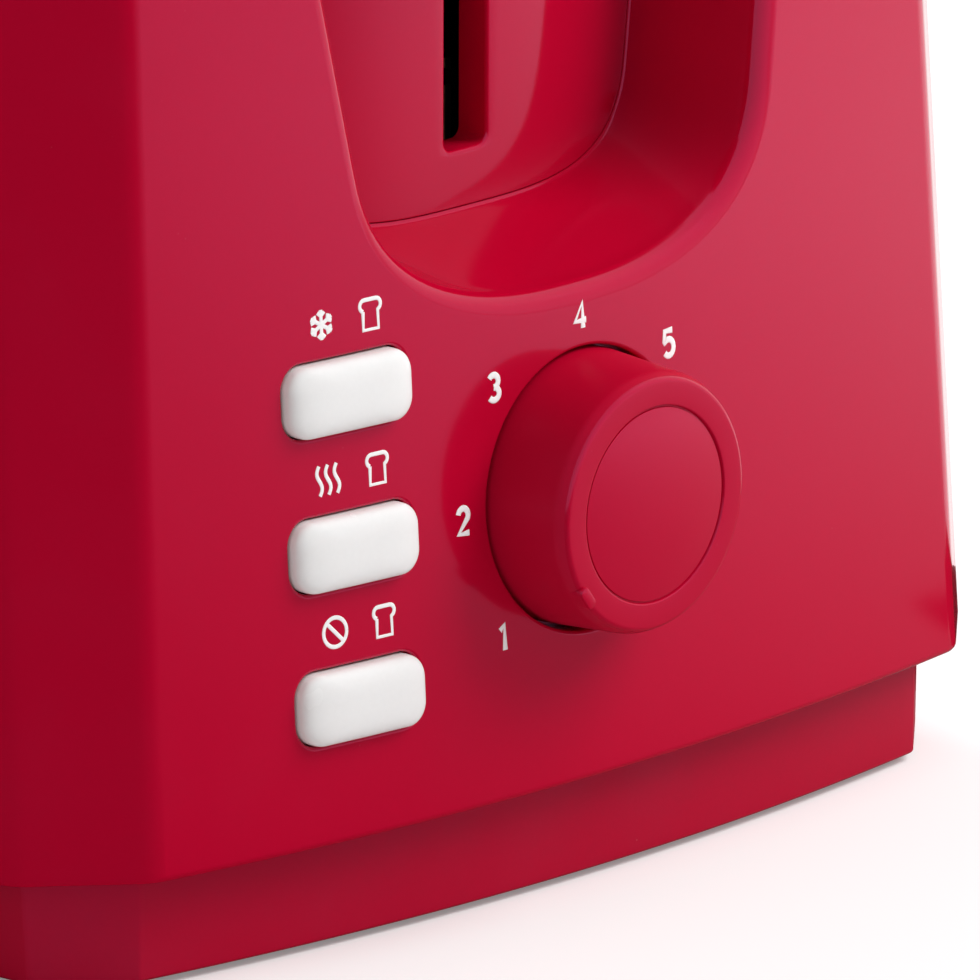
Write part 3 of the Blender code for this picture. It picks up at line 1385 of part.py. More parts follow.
block_front = chamber_rear + PLATE_THICKNESS + GAP
terminal_block = box(
    "terminal_block",
    (-BLOCK_WIDTH / 2, block_front, BLOCK_Z),
    (BLOCK_WIDTH / 2, block_front + BLOCK_DEPTH, BLOCK_Z + BLOCK_HEIGHT),
)
for number in range(3):
    x = (number - 1) * BLOCK_WIDTH / 3
    y = block_front + BLOCK_DEPTH / 2
    ends = [(x, y, BLOCK_Z + BLOCK_HEIGHT / 2), (x, y, BLOCK_Z + BLOCK_HEIGHT + OVERRUN)]
    cut(terminal_block, cylinder(f"terminal_well_{number + 1}", *ends, BLOCK_DEPTH / 4, cutters))
dress(terminal_block, WHITE, 0.5)

print("centre shift", origin.location.y, "tray travel", tray_travel)
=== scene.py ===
"""Two-slice toaster in glossy red plastic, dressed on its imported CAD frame.

The sections follow the toaster as it is put together: the view and the studio first, then the moulded
shell and what sits in it, then the base, and last everything inside. Metres, +Z up.
"""

import math

import bmesh
import bpy
from mathutils import Matrix, Vector


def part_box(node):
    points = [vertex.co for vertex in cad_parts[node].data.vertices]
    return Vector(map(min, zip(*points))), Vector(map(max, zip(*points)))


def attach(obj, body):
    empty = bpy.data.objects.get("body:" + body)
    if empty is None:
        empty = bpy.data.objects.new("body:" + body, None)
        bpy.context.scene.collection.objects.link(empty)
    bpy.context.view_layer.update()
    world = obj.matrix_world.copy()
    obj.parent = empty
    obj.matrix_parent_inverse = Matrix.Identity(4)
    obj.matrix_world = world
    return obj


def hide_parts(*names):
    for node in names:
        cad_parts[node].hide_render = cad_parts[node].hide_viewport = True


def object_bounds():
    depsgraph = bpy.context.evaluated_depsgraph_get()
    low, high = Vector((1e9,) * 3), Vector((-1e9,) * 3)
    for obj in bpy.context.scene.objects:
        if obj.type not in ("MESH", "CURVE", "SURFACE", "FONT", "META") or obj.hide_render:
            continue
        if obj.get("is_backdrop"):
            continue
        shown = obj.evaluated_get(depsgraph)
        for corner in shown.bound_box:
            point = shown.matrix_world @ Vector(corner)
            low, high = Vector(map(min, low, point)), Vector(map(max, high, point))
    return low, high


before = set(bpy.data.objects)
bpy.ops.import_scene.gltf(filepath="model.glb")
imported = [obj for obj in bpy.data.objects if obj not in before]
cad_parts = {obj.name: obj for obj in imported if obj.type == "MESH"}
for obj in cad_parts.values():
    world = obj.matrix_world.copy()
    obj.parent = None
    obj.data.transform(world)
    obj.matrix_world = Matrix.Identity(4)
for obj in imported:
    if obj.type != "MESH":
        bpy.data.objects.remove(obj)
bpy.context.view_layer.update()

scene = bpy.context.scene
scene.view_settings.view_transform = "Standard"


# Camera. A long lens, low and to the front left, whose crop takes in the
# control end and leaves out the top, the right side and the rear.

camera_data = bpy.data.cameras.new("camera")
camera_data.lens = 761.804
camera_data.sensor_width = 36
camera_data.clip_end = 20
camera = bpy.data.objects.new("camera", camera_data)
scene.collection.objects.link(camera)
camera_right = Vector((0.684807, -0.728718, 0.002980))
camera_up = Vector((0.190225, 0.182707, 0.964589))
camera_back = camera_right.cross(camera_up).normalized()
camera.matrix_world = Matrix.Translation((-1.828909, -1.826840, 0.734220)) @ Matrix(
    (camera_right, camera_up, camera_back)
).transposed().to_4x4()
scene.camera = camera


# Studio. A white floor under an even sky, a soft lamp high on the right and one
# behind. A black cloth that fades out to the right and a small black strip lie
# in front, and only the gloss of the plastic picks them up.

room_light = 0.57
floor_size = 6.0
floor_colour = (0.76, 0.75, 0.75, 1)
floor_glow = 0.21
felt_colour = (0.01, 0.01, 0.01, 1)


def place_node(tree, kind, inputs=None, **settings):
    """Adds a node. An input is given by its name or number, as a value or as another node's output."""
    node = tree.nodes.new(kind)
    for key, value in settings.items():
        setattr(node, key, value)
    for key, value in (inputs or {}).items():
        if isinstance(value, bpy.types.NodeSocket):
            tree.links.new(value, node.inputs[key])
        else:
            node.inputs[key].default_value = value
    return node


def worked_out(tree, operation, *values):
    """What a Math node makes of numbers and sockets."""
    return place_node(tree, "ShaderNodeMath", dict(enumerate(values)), operation=operation).outputs[0]


def remap(tree, value, low, high, from_low=0.0, from_high=1.0, **settings):
    return place_node(tree, "ShaderNodeMapRange", {
        "Value": value, "From Min": from_low, "From Max": from_high, "To Min": low, "To Max": high},
        **settings).outputs[0]


def seen_directly(tree):
    """1 for what the camera sees, also in a mirror or through glass, and 0 for light on the object."""
    path = place_node(tree, "ShaderNodeLightPath").outputs
    glossy = worked_out(tree, "MAXIMUM", path["Is Camera Ray"], path["Is Glossy Ray"])
    return worked_out(tree, "MAXIMUM", glossy, path["Is Transmission Ray"])


world = bpy.data.worlds.new("studio")
world.use_nodes = True
scene.world = world
world_tree = world.node_tree
sky = world_tree.nodes["Background"].inputs
sky["Color"].default_value = (1, 1, 1, 1)
world_tree.links.new(remap(world_tree, seen_directly(world_tree), room_light, 1.0), sky["Strength"])


def flat_sheet(name, points):
    work = bmesh.new()
    work.faces.new([work.verts.new(point) for point in points])
    mesh = bpy.data.meshes.new(name)
    work.to_mesh(mesh)
    work.free()
    sheet = bpy.data.objects.new(name, mesh)
    scene.collection.objects.link(sheet)
    paint = bpy.data.materials.new(f"{name}_paint")
    paint.use_nodes = True
    paint.node_tree.nodes.remove(paint.node_tree.nodes["Principled BSDF"])
    mesh.materials.append(paint)
    return sheet, paint.node_tree


def cover_with(tree, shader):
    tree.links.new(shader.outputs[0], tree.nodes["Material Output"].inputs["Surface"])


studio_floor, floor_tree = flat_sheet("studio_floor", [
    (sx * floor_size, sy * floor_size, 0) for sx, sy in ((-1, -1), (1, -1), (1, 1), (-1, 1))])
floor_paint = place_node(floor_tree, "ShaderNodeBsdfDiffuse", {"Color": floor_colour})
floor_light = place_node(floor_tree, "ShaderNodeEmission", {
    "Color": (1, 1, 1, 1), "Strength": remap(floor_tree, seen_directly(floor_tree), 0.0, floor_glow)})
cover_with(floor_tree, place_node(floor_tree, "ShaderNodeAddShader", {
    0: floor_paint.outputs[0], 1: floor_light.outputs[0]}))
studio_floor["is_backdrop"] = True

cloth_right = Vector((0.685, -0.729, 0))
cloth_near = Vector((-0.729, -0.685, 0))


def felt_sheet(name, height, corners):
    """Black felt just over the floor, seen only in gloss. Corners are given to the right and nearer."""
    places = [cloth_right * u + cloth_near * v + Vector((0, 0, height)) for u, v in corners]
    sheet, tree = flat_sheet(name, places)
    sheet.visible_camera = False
    sheet.visible_diffuse = False
    sheet.visible_shadow = False
    sheet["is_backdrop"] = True
    return tree, place_node(tree, "ShaderNodeBsdfDiffuse", {"Color": felt_colour})


cloth_tree, cloth_felt = felt_sheet("black_cloth", 0.0005, [
    (-1.2, 1.7), (1.6, 1.7), (1.6, -0.9), (0.26, -0.062), (-1.2, -0.062)])
cloth_place = place_node(cloth_tree, "ShaderNodeTexCoord").outputs["Object"]
cloth_across = place_node(cloth_tree, "ShaderNodeSeparateXYZ", {0: cloth_place}).outputs["X"]
cloth_clear = place_node(cloth_tree, "ShaderNodeBsdfTransparent")
cover_with(cloth_tree, place_node(cloth_tree, "ShaderNodeMixShader", {
    0: remap(cloth_tree, cloth_across, 0.0, 0.82, -0.10, 0.50, interpolation_type="SMOOTHSTEP"),
    1: cloth_felt.outputs[0], 2: cloth_clear.outputs[0]}))
strip_tree, strip_felt = felt_sheet("black_strip", 0.0007, [
    (0.12, 0.0), (0.24, 0.0), (0.24, -0.062), (0.12, -0.062)])
cover_with(strip_tree, strip_felt)

for name, place, aim, size, power in (
        ("lamp_right", (0.55, -0.62, 0.75), (0, -0.1, 0.08), 0.6, 9.5),
        ("lamp_rear", (0.6, 1.6, 1.6), (0, 0, 0.08), 1.0, 12)):
    lamp_data = bpy.data.lights.new(name, "AREA")
    lamp_data.shape = "RECTANGLE"
    lamp_data.size = lamp_data.size_y = size
    lamp_data.energy = power
    lamp = bpy.data.objects.new(name, lamp_data)
    scene.collection.objects.link(lamp)
    lamp.location = place
    lamp.rotation_euler = (Vector(aim) - Vector(place)).to_track_quat("-Z", "Y").to_euler()
    lamp.visible_glossy = False


# Shell. One injection moulding in glossy red ABS: bowed ends, flat chamfered
# corners, a thumb recess with a rolled lip, button holes, a dish for the knob
# and two bread slots with collars. It hangs over the base like a lid.

body_length = 0.270
body_width = 0.180
body_height = 0.190
body_bottom = 0.0150
body_wall = 0.0024
corner_reach = 0.0164
front_bow = 0.425
side_bow = 2.6
corner_blend = 0.006
least_blend = 0.0012
top_edge_radius = 0.016
bottom_edge_radius = 0.0010
chamfer_turn = math.radians(41)
front_lean = math.radians(3.6)
side_taper = math.radians(1.25)
fit_gap = 0.0003
running_gap = 0.0006
overrun = 0.003
shell_low, shell_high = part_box("housing")
middle_y = (shell_low.y + shell_high.y) / 2


def half_length(z):
    return body_length / 2 - (z - body_bottom) * math.tan(front_lean)


def half_width(z):
    return body_width / 2 - (z - body_bottom) * math.tan(side_taper)


def bow(x, radius):
    """How far an arc of this radius falls back at a distance x from its middle."""
    return radius - math.sqrt(radius**2 - x**2)


def front_y(x, z):
    """The front face, which is bowed and leans back."""
    return middle_y + bow(x, front_bow) - half_length(z)


def mix(start, end, share):
    return start + (end - start) * share


def quarter_round(radius, steps):
    """Pairs that go round a quarter circle, from (radius, 0) to (0, radius)."""
    turns = [math.pi / 2 * step / steps for step in range(steps + 1)]
    return [(radius * (1 - math.sin(turn)), radius * (1 - math.cos(turn))) for turn in turns]


def circle_hits(point, direction, centre, radius):
    """Where a line meets a circle, as its two distances from the point."""
    offset = point - centre
    along = offset.dot(direction)
    root = math.sqrt(along**2 - offset.length_squared + radius**2)
    return -along - root, -along + root


def rounded_corner(before, corner, after, radius, steps):
    """The points of an arc that takes the place of a corner."""
    first = (before - corner).normalized()
    second = (after - corner).normalized()
    half = math.acos(max(-1, min(1, first.dot(second)))) / 2
    centre = corner + (first + second).normalized() * (radius / math.sin(half))
    start = corner + first * (radius / math.tan(half)) - centre
    turn = start.angle_signed(corner + second * (radius / math.tan(half)) - centre)
    points = []
    for step in range(steps + 1):
        arm = start.copy()
        arm.rotate(Matrix.Rotation(-turn * step / steps, 2))
        points.append(centre + arm)
    return points


def plan(z, inset, face_steps=26, corner_steps=8, side_steps=10):
    """The shell's outline at height z, drawn in by inset."""
    length, width = half_length(z), half_width(z)
    face = width - corner_reach
    along = Vector((math.cos(chamfer_turn), math.sin(chamfer_turn)))
    inward = Vector((-along.y, along.x))
    start = Vector((face, bow(face, front_bow) - length)) + inward * inset
    near = min(circle_hits(start, along, Vector((0, front_bow - length)), front_bow - inset), key=abs)
    far = max(circle_hits(start, along, Vector((width - side_bow, 0)), side_bow - inset))
    first, second = start + along * near, start + along * far
    blend = max(corner_blend - inset, least_blend)

    def on_front(x):
        return Vector((x, front_bow - length - math.sqrt((front_bow - inset) ** 2 - x**2)))

    def on_side(y):
        return Vector((width - side_bow + math.sqrt((side_bow - inset) ** 2 - y**2), y))

    last = first.x - 0.7 * blend
    front = [on_front(last * step / face_steps) for step in range(face_steps)]
    edge = second.y + 0.7 * blend
    side = [on_side(edge * (1 - step / side_steps)) for step in range(1, side_steps + 1)]
    quarter = front + rounded_corner(on_front(first.x - 1e-4), first, second, blend, corner_steps)
    quarter += rounded_corner(first, second, on_side(second.y + 1e-4), blend, corner_steps) + side
    right = quarter + [Vector((p.x, -p.y)) for p in reversed(quarter[:-1])]
    left = [Vector((-p.x, p.y)) for p in reversed(right[1:-1])]
    return [Vector((p.x, p.y + middle_y, z)) for p in right + left]


def rounded_rectangle(width, height, corner, steps=8):
    points = []
    for side, (sx, sy) in enumerate(((1, -1), (1, 1), (-1, 1), (-1, -1))):
        for step in range(steps + 1):
            angle = math.pi / 2 * (side - 1 + step / steps)
            points.append((sx * (width / 2 - corner) + corner * math.cos(angle),
                           sy * (height / 2 - corner) + corner * math.sin(angle)))
    return points


def mesh_object(name, work):
    bmesh.ops.recalc_face_normals(work, faces=work.faces)
    mesh = bpy.data.meshes.new(name)
    work.to_mesh(mesh)
    work.free()
    obj = bpy.data.objects.new(name, mesh)
    scene.collection.objects.link(obj)
    return obj


def loft(name, rings):
    """A closed solid through rings of points that match one to one, with a face at each end."""
    work = bmesh.new()
    loops = [[work.verts.new(point) for point in ring] for ring in rings]
    count = len(loops[0])
    for lower, upper in zip(loops, loops[1:]):
        for i in range(count):
            j = (i + 1) % count
            work.faces.new((lower[i], lower[j], upper[j], upper[i]))
    work.faces.new(loops[0])
    work.faces.new(loops[-1])
    return mesh_object(name, work)


def block(name, low, high):
    """A cutter or rib with square edges between two corners."""
    low, high = Vector(low), Vector(high)
    work = bmesh.new()
    size = Matrix.Diagonal((*(high - low), 1))
    bmesh.ops.create_cube(work, size=1, matrix=Matrix.Translation((low + high) / 2) @ size)
    return mesh_object(name, work)


def through(name, outline, places):
    """A bar with an outline in X and Z, from one Y to the next."""
    return loft(name, [[(x, y, z) for x, z in outline] for y in places])


def spun(name, profile, place, towards, sides=64):
    """A profile of (radius, height) pairs turned about an axis through place."""
    turn = Vector(towards).to_track_quat("Z", "Y").to_matrix().to_4x4()
    work = bmesh.new()
    loops = []
    for radius, height in profile:
        if radius < 1e-7:
            loops.append([work.verts.new((0, 0, height))])
        else:
            angles = [2 * math.pi * step / sides for step in range(sides)]
            ring = [(radius * math.cos(angle), radius * math.sin(angle), height) for angle in angles]
            loops.append([work.verts.new(point) for point in ring])
    for lower, upper in zip(loops, loops[1:]):
        for i in range(sides):
            j = (i + 1) % sides
            if len(lower) == 1 and len(upper) == 1:
                continue
            if len(lower) == 1:
                work.faces.new((lower[0], upper[j], upper[i]))
            elif len(upper) == 1:
                work.faces.new((lower[i], lower[j], upper[0]))
            else:
                work.faces.new((lower[i], lower[j], upper[j], upper[i]))
    work.transform(Matrix.Translation(place) @ turn)
    return mesh_object(name, work)


def rod(name, start, end, radius, sides=32):
    start, end = Vector(start), Vector(end)
    length = (end - start).length
    return spun(name, [(0, 0), (radius, 0), (radius, length), (0, length)], start, end - start, sides)


def combine(target, operation, *others):
    """Boolean of a piece with others, which are used up; the result is a plain mesh."""
    for other in others:
        modifier = target.modifiers.new(operation, "BOOLEAN")
        modifier.operation = operation
        modifier.solver = "MANIFOLD"
        modifier.object = other
    graph = bpy.context.evaluated_depsgraph_get()
    mesh = bpy.data.meshes.new_from_object(target.evaluated_get(graph))
    target.modifiers.clear()
    mesh.materials.clear()
    target.data = mesh
    mesh.name = target.name
    for other in others:
        bpy.data.objects.remove(other)
    return target


def smooth(obj, angle=30):
    obj.data.shade_smooth()
    obj.data.set_sharp_from_angle(angle=math.radians(angle))
    return obj


# The recess: one outline that narrows from the front face back to the lever panel. The powers set how
# square its bottom corners are.
recess_bottom = 0.0783
recess_shoulder = 0.0200
recess_half_width = 0.0324
recess_lip = 0.0028
recess_power = 2.5
recess_side_lean = math.radians(10.2)
panel_depth = 0.0187
panel_bow = 0.027
panel_fall = 0.46
panel_rise = 0.0059
panel_side_inset = 0.0015
panel_power = 3.0
panel_fillet = 0.0004
panel_pad = 0.0024
panel_wall = 0.0022
panel_flange = 0.0050
lever_slot_bottom = 0.0920
behind_panel = 0.0540
above_body = body_height + overrun


def panel_curve(x):
    """How far the lever panel falls back from its middle: nearly flat at first, then a straight slope."""
    return panel_fall * ((x**4 + panel_bow**4) ** 0.25 - panel_bow)


def panel_y(x):
    """Front of the lever panel, which is bowed and stands upright."""
    return front_y(0, lever_slot_bottom) + panel_depth + panel_curve(x)


def recess_outline(share, offset, top, round_steps=28, side_runs=12, top_steps=24):
    """The recess's outline in X and Z: share 0 is its mouth and 1 the panel, offset moves it outwards."""
    half = recess_half_width - panel_side_inset * share + offset
    drop = recess_shoulder - panel_rise * share + offset
    power = mix(recess_power, panel_power, share)
    shoulder = recess_bottom + recess_shoulder
    right = []
    for step in range(round_steps + 1):
        angle = math.pi / 2 * step / round_steps
        right.append((half * math.sin(angle) ** (2 / power),
                      shoulder - drop * math.cos(angle) ** (2 / power)))
    right += [(half, mix(shoulder, top, step / side_runs)) for step in range(1, side_runs + 1)]
    spread = math.tan(recess_side_lean)
    right = [(x + spread * (z - recess_bottom) * math.sqrt(x / half), z) for x, z in right]
    corner = right[-1][0]
    edge = [(mix(corner, -corner, step / top_steps), top) for step in range(1, top_steps)]
    return right + edge + [(-x, z) for x, z in reversed(right[1:])]


def recess_ring(share, offset, depth):
    outline = recess_outline(share, offset, above_body)
    return [(x, mix(front_y(x, z), panel_y(x), share) + depth, z) for x, z in outline]


def recess_block(name, offset, lip_steps=8, wall_steps=14):
    """The recess as a solid, with a rolled lip at the front face and a fillet round the lever panel."""
    rings = [recess_ring(0, offset + recess_lip, -overrun)]
    for out, depth in quarter_round(recess_lip, lip_steps):
        rings.append(recess_ring(0, offset + out, depth))
    for step in range(1, wall_steps + 1):
        share = step / wall_steps * (1 - panel_fillet / panel_depth)
        rings.append(recess_ring(share, offset, recess_lip * (1 - share)))
    for left, inset in quarter_round(panel_fillet, 6)[1:]:
        share = 1 - left / panel_depth
        rings.append(recess_ring(share, offset - inset, recess_lip * (1 - share)))
    rings.append(recess_ring(1, offset - panel_fillet, panel_depth / 2))
    return loft(name, rings)


def bowed_block(name, front_depth, back_depth, bottom, steps=48):
    """An upright slab that follows the lever panel's bow."""
    reach = recess_half_width + (above_body - recess_bottom) * math.tan(recess_side_lean) + 2 * panel_flange
    across = [mix(-reach, reach, step / steps) for step in range(steps + 1)]
    rings = []
    for z in (bottom, above_body + overrun):
        front = [(x, panel_y(x) + front_depth, z) for x in across]
        rings.append(front + [(x, panel_y(x) + back_depth, z) for x in reversed(across)])
    return loft(name, rings)


recess = combine(recess_block("recess", 0), "DIFFERENCE",
                 bowed_block("recess_end", panel_pad + panel_wall + fit_gap, behind_panel, body_bottom))
recess_wall = combine(recess_block("recess_wall", body_wall), "DIFFERENCE",
                      bowed_block("recess_wall_end", panel_pad - fit_gap, behind_panel, body_bottom))


def top_rings(inset):
    """The rounded top of the body, drawn in by inset."""
    rounding = quarter_round(top_edge_radius - inset, 14)
    return [plan(body_height - inset - drop, inset + back) for drop, back in rounding]


side_rings = 9
side_bottom, side_top = body_bottom + bottom_edge_radius, body_height - top_edge_radius
bottom_rings = [plan(body_bottom + rise, inset) for inset, rise in quarter_round(bottom_edge_radius, 5)]
bottom_rings += [plan(mix(side_bottom, side_top, step / side_rings), 0) for step in range(1, side_rings)]
shell = loft("moulded_shell", bottom_rings + top_rings(0))
cavity = loft("cavity", [plan(body_bottom - overrun, body_wall)] + top_rings(body_wall))

# Bread slots, each with a rolled lip and a collar that hangs inside
control_bay = 0.0540
rear_bay = 0.0510
slot_end_room = 0.0095
slot_width = 0.0340
slot_spacing = 0.0540
slot_corner = 0.0070
slot_lip = 0.0025
slot_collar = 0.0110
chamber_front = middle_y - body_length / 2 + control_bay
chamber_rear = middle_y + body_length / 2 - rear_bay
chamber_middle = (chamber_front + chamber_rear) / 2
slot_length = chamber_rear - chamber_front - 2 * slot_end_room
collar_bottom = body_height - body_wall - slot_collar


def slot_ring(x, offset, z):
    outline = rounded_rectangle(slot_width + 2 * offset, slot_length + 2 * offset, slot_corner + offset)
    return [(x + px, chamber_middle + py, z) for px, py in outline]


slot_cutters, slot_walls = [], []
for side, x in (("left", -slot_spacing / 2), ("right", slot_spacing / 2)):
    rings = [slot_ring(x, 0, collar_bottom - overrun)]
    rings += [slot_ring(x, out, body_height - drop) for drop, out in quarter_round(slot_lip, 8)]
    rings.append(slot_ring(x, slot_lip, above_body))
    slot_cutters.append(loft(f"slot_{side}", rings))
    wall_rings = [slot_ring(x, body_wall, z) for z in (collar_bottom, above_body)]
    slot_walls.append(loft(f"slot_wall_{side}", wall_rings))

# Dish that the knob turns in, and the hole for its shaft
knob_z = 0.0520
knob_reach = 0.0120
dish_radius = 0.0180
dish_depth = 0.0040
shaft_hole_radius = 0.0051
rim_round = 0.0005
front_at_knob = front_y(0, knob_z)
dish_floor = front_at_knob + dish_depth


def dish_ring(offset, depth, sides=128):
    ring = []
    for step in range(sides):
        turn = 2 * math.pi * step / sides
        x, z = (dish_radius + offset) * math.cos(turn), knob_z + (dish_radius + offset) * math.sin(turn)
        ring.append((x, front_y(x, z) + depth, z))
    return ring


dish = loft("dish", [
    dish_ring(rim_round, -overrun), *[dish_ring(out, depth) for out, depth in quarter_round(rim_round, 4)],
    [(x, dish_floor, z) for x, _, z in dish_ring(0, 0)]])
dish_wall = rod("dish_wall", (0, dish_floor + body_wall, knob_z), (0, front_at_knob - knob_reach, knob_z),
                dish_radius + body_wall)
shaft_hole = rod("shaft_hole", (0, dish_floor - overrun, knob_z),
                 (0, dish_floor + body_wall + overrun, knob_z), shaft_hole_radius)

# Holes for the three buttons, their rims broken by a small radius
button_x = -0.0406
button_z = {"defrost": 0.0715, "reheat": 0.0520, "cancel": 0.0327}
button_width = 0.0199
button_height = 0.0091
button_corner = 0.0030
button_gap = 0.0002


def button_ring(z_middle, offset, depth, side_steps=10):
    """A button's outline, drawn out by offset, at a depth behind the front face."""
    corners = rounded_rectangle(button_width + 2 * offset, button_height + 2 * offset,
                                button_corner + offset, 10)
    outline = []
    for (x, z), (next_x, next_z) in zip(corners, corners[1:] + corners[:1]):
        steps = side_steps if math.hypot(next_x - x, next_z - z) > 0.002 else 1
        outline += [(mix(x, next_x, step / steps), mix(z, next_z, step / steps)) for step in range(steps)]
    return [(button_x + px, front_y(button_x + px, z_middle + pz) + depth, z_middle + pz)
            for px, pz in outline]


button_holes = []
for name, z in button_z.items():
    button_holes.append(loft(f"hole_{name}", [
        button_ring(z, button_gap + rim_round, -overrun),
        *[button_ring(z, button_gap + out, depth) for out, depth in quarter_round(rim_round, 4)],
        button_ring(z, button_gap, 2 * body_wall + overrun)]))

combine(cavity, "DIFFERENCE", recess_wall, dish_wall, *slot_walls)
combine(shell, "DIFFERENCE", recess, dish, shaft_hole, *slot_cutters, *button_holes, cavity)

# Bosses that the base's and the board's screws bite into
board_front = front_at_knob + 0.0165
board_posts = ((-0.0230, 0.0725), (0.0210, 0.0310))
board_post_radius = 0.0030
post_spots = [(sx * 0.0680, middle_y + sy * 0.1040) for sx in (-1, 1) for sy in (-1, 1)]
post_radius = 0.0045
boss_bottom = 0.0243
boss_top = 0.0620
rib_half = 0.0012
rib_bottom = boss_bottom + 0.0080
rib_top = boss_top - 0.0003
rib_foot = 0.0033
bosses = []
for x, y in post_spots:
    bosses.append(rod("boss", (x, y, boss_bottom), (x, y, boss_top), post_radius))
    wall = math.copysign(half_width(boss_top) - rib_foot, x)
    bosses.append(block("boss_rib", (min(x, wall), y - rib_half, rib_bottom),
                        (max(x, wall), y + rib_half, rib_top)))
for x, z in board_posts:
    bosses.append(rod("board_post", (x, front_y(x, z) + body_wall / 2, z), (x, board_front - fit_gap, z),
                      board_post_radius))
combine(shell, "UNION", *bosses)
smooth(shell)


def true_front(mesh):
    """Gives the cut front face and deck the normals of their uncut surfaces, for clean reflections."""
    normals = [Vector(c.vector) for c in mesh.corner_normals]
    up = math.tan(front_lean)
    for face in mesh.polygons:
        x, y, z = face.center
        if face.normal.z > 0.9999 and z > body_height - 1e-5:
            for loop in face.loop_indices:
                normals[loop] = Vector((0, 0, 1))
        elif abs(x) < 0.08 and abs(y - front_y(x, z)) < 4e-5 and body_bottom + 0.001 < z < 0.174:
            slope = x / math.sqrt(front_bow**2 - x**2)
            if face.normal.dot(Vector((slope, -1, up)).normalized()) < 0.9995:
                continue
            for loop in face.loop_indices:
                vx = mesh.vertices[mesh.loops[loop].vertex_index].co.x
                normals[loop] = Vector((vx / math.sqrt(front_bow**2 - vx**2), -1, up)).normalized()
    mesh.normals_split_custom_set(normals)


true_front(shell.data)


def node_group(name, inputs, outputs, kind="ShaderNodeTree"):
    group = bpy.data.node_groups.new(name, kind)
    for socket, socket_kind, value in inputs:
        made = group.interface.new_socket(socket, in_out="INPUT", socket_type=socket_kind)
        if value is not None:
            made.default_value = value
    for socket, socket_kind in outputs:
        group.interface.new_socket(socket, in_out="OUTPUT", socket_type=socket_kind)
    return group, group.nodes.new("NodeGroupInput"), group.nodes.new("NodeGroupOutput")


def noise(tree, place, size, detail=2.0, roughness=0.5):
    """Noise whose features are about size metres across."""
    return place_node(tree, "ShaderNodeTexNoise", {
        "Vector": place, "Scale": 1 / size, "Detail": detail, "Roughness": roughness}).outputs["Fac"]


def cells(tree, place, size):
    """A pattern of cells about size metres across."""
    return place_node(tree, "ShaderNodeTexVoronoi", {"Vector": place, "Scale": 1 / size}).outputs


def toned(tree, colour, factor):
    """A colour made lighter or darker."""
    scaled = place_node(tree, "ShaderNodeVectorMath", {0: colour, "Scale": factor}, operation="SCALE")
    return scaled.outputs[0]


def blended(tree, share, first, second):
    return place_node(tree, "ShaderNodeMix", {0: share, 6: first, 7: second}, data_type="RGBA").outputs[2]


def put_out(tree, end, **results):
    for name, result in results.items():
        tree.links.new(result, end.inputs[name])


finish_outputs = [
    ("Color", "NodeSocketColor"), ("Roughness", "NodeSocketFloat"), ("Height", "NodeSocketFloat")]

# Moulded plastic: a colour that drifts a little with the flow of the melt, the faint orange peel of a
# polished mould, handling marks in its gloss, and a few specks of dust.
moulded, m_in, m_out = node_group("moulded_plastic", [
    ("Color", "NodeSocketColor", (1, 1, 1, 1)),
    ("Drift", "NodeSocketFloat", 0.04),
    ("Roughness", "NodeSocketFloat", 0.1),
    ("Marks", "NodeSocketFloat", 0.05),
    ("Dust", "NodeSocketFloat", 0.3),
], finish_outputs)
m_place = place_node(moulded, "ShaderNodeTexCoord").outputs["Object"]
m_grain = noise(moulded, m_place, 0.0007)
m_tone = worked_out(moulded, "ADD", noise(moulded, m_place, 0.05, 3.0), m_grain)
m_swing = remap(moulded, m_tone, -1.0, 1.0, 0.6, 1.4)
m_shift = worked_out(moulded, "MULTIPLY_ADD", m_swing, m_in.outputs["Drift"], 1.0)
m_speck = remap(moulded, cells(moulded, m_place, 0.0065)["Distance"], 0.35, 0.0, 0.010, 0.024)
m_rub = remap(moulded, noise(moulded, m_place, 0.018, 4.0, 0.6), 0.0, 1.0, 0.45, 0.75)
put_out(moulded, m_out, Color=blended(
    moulded, worked_out(moulded, "MULTIPLY", m_speck, m_in.outputs["Dust"]),
    toned(moulded, m_in.outputs["Color"], m_shift), (0.75, 0.6, 0.6, 1)),
    Roughness=worked_out(moulded, "MULTIPLY_ADD", m_rub, m_in.outputs["Marks"], m_in.outputs["Roughness"]),
    Height=worked_out(moulded, "MULTIPLY_ADD", m_grain, 0.2, noise(moulded, m_place, 0.0022)))


def finish_with(name, group, colour, bump_distance, settings=None, **values):
    """A material: a group gives Color, Roughness and Height, settings go to the shader's own sockets."""
    made = bpy.data.materials.new(name)
    made.use_nodes = True
    tree = made.node_tree
    shader = tree.nodes["Principled BSDF"]
    source = place_node(tree, "ShaderNodeGroup", node_tree=group)
    source.inputs["Color"].default_value = (*colour, 1)
    for key, value in values.items():
        source.inputs[key].default_value = value
    bump = place_node(tree, "ShaderNodeBump", {
        "Strength": 1.0, "Distance": bump_distance, "Height": source.outputs["Height"]})
    tree.links.new(source.outputs["Color"], shader.inputs["Base Color"])
    tree.links.new(source.outputs["Roughness"], shader.inputs["Roughness"])
    tree.links.new(bump.outputs[0], shader.inputs["Normal"])
    for key, value in (settings or {}).items():
        shader.inputs[key].default_value = value
    made.diffuse_color = (*colour, 1)
    return made


red = (0.44, 0.0008, 0.0215)
red_gloss = {"IOR": 1.5, "Specular Tint": (1.0, 0.42, 0.95, 1)}
shell_plastic = finish_with("red_shell_plastic", moulded, red, 0.0000016, red_gloss,
                            Drift=0.02, Roughness=0.10, Marks=0.05, Dust=0.1)
shell.data.materials.append(shell_plastic)
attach(shell, "body")
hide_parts("housing")


# Lever panel. The bowed plate at the back of the recess, moulded apart from
# the shell in the same red and held from behind by its flange; its pad fills
# the opening with a rounded edge, and the lever runs in its slot.

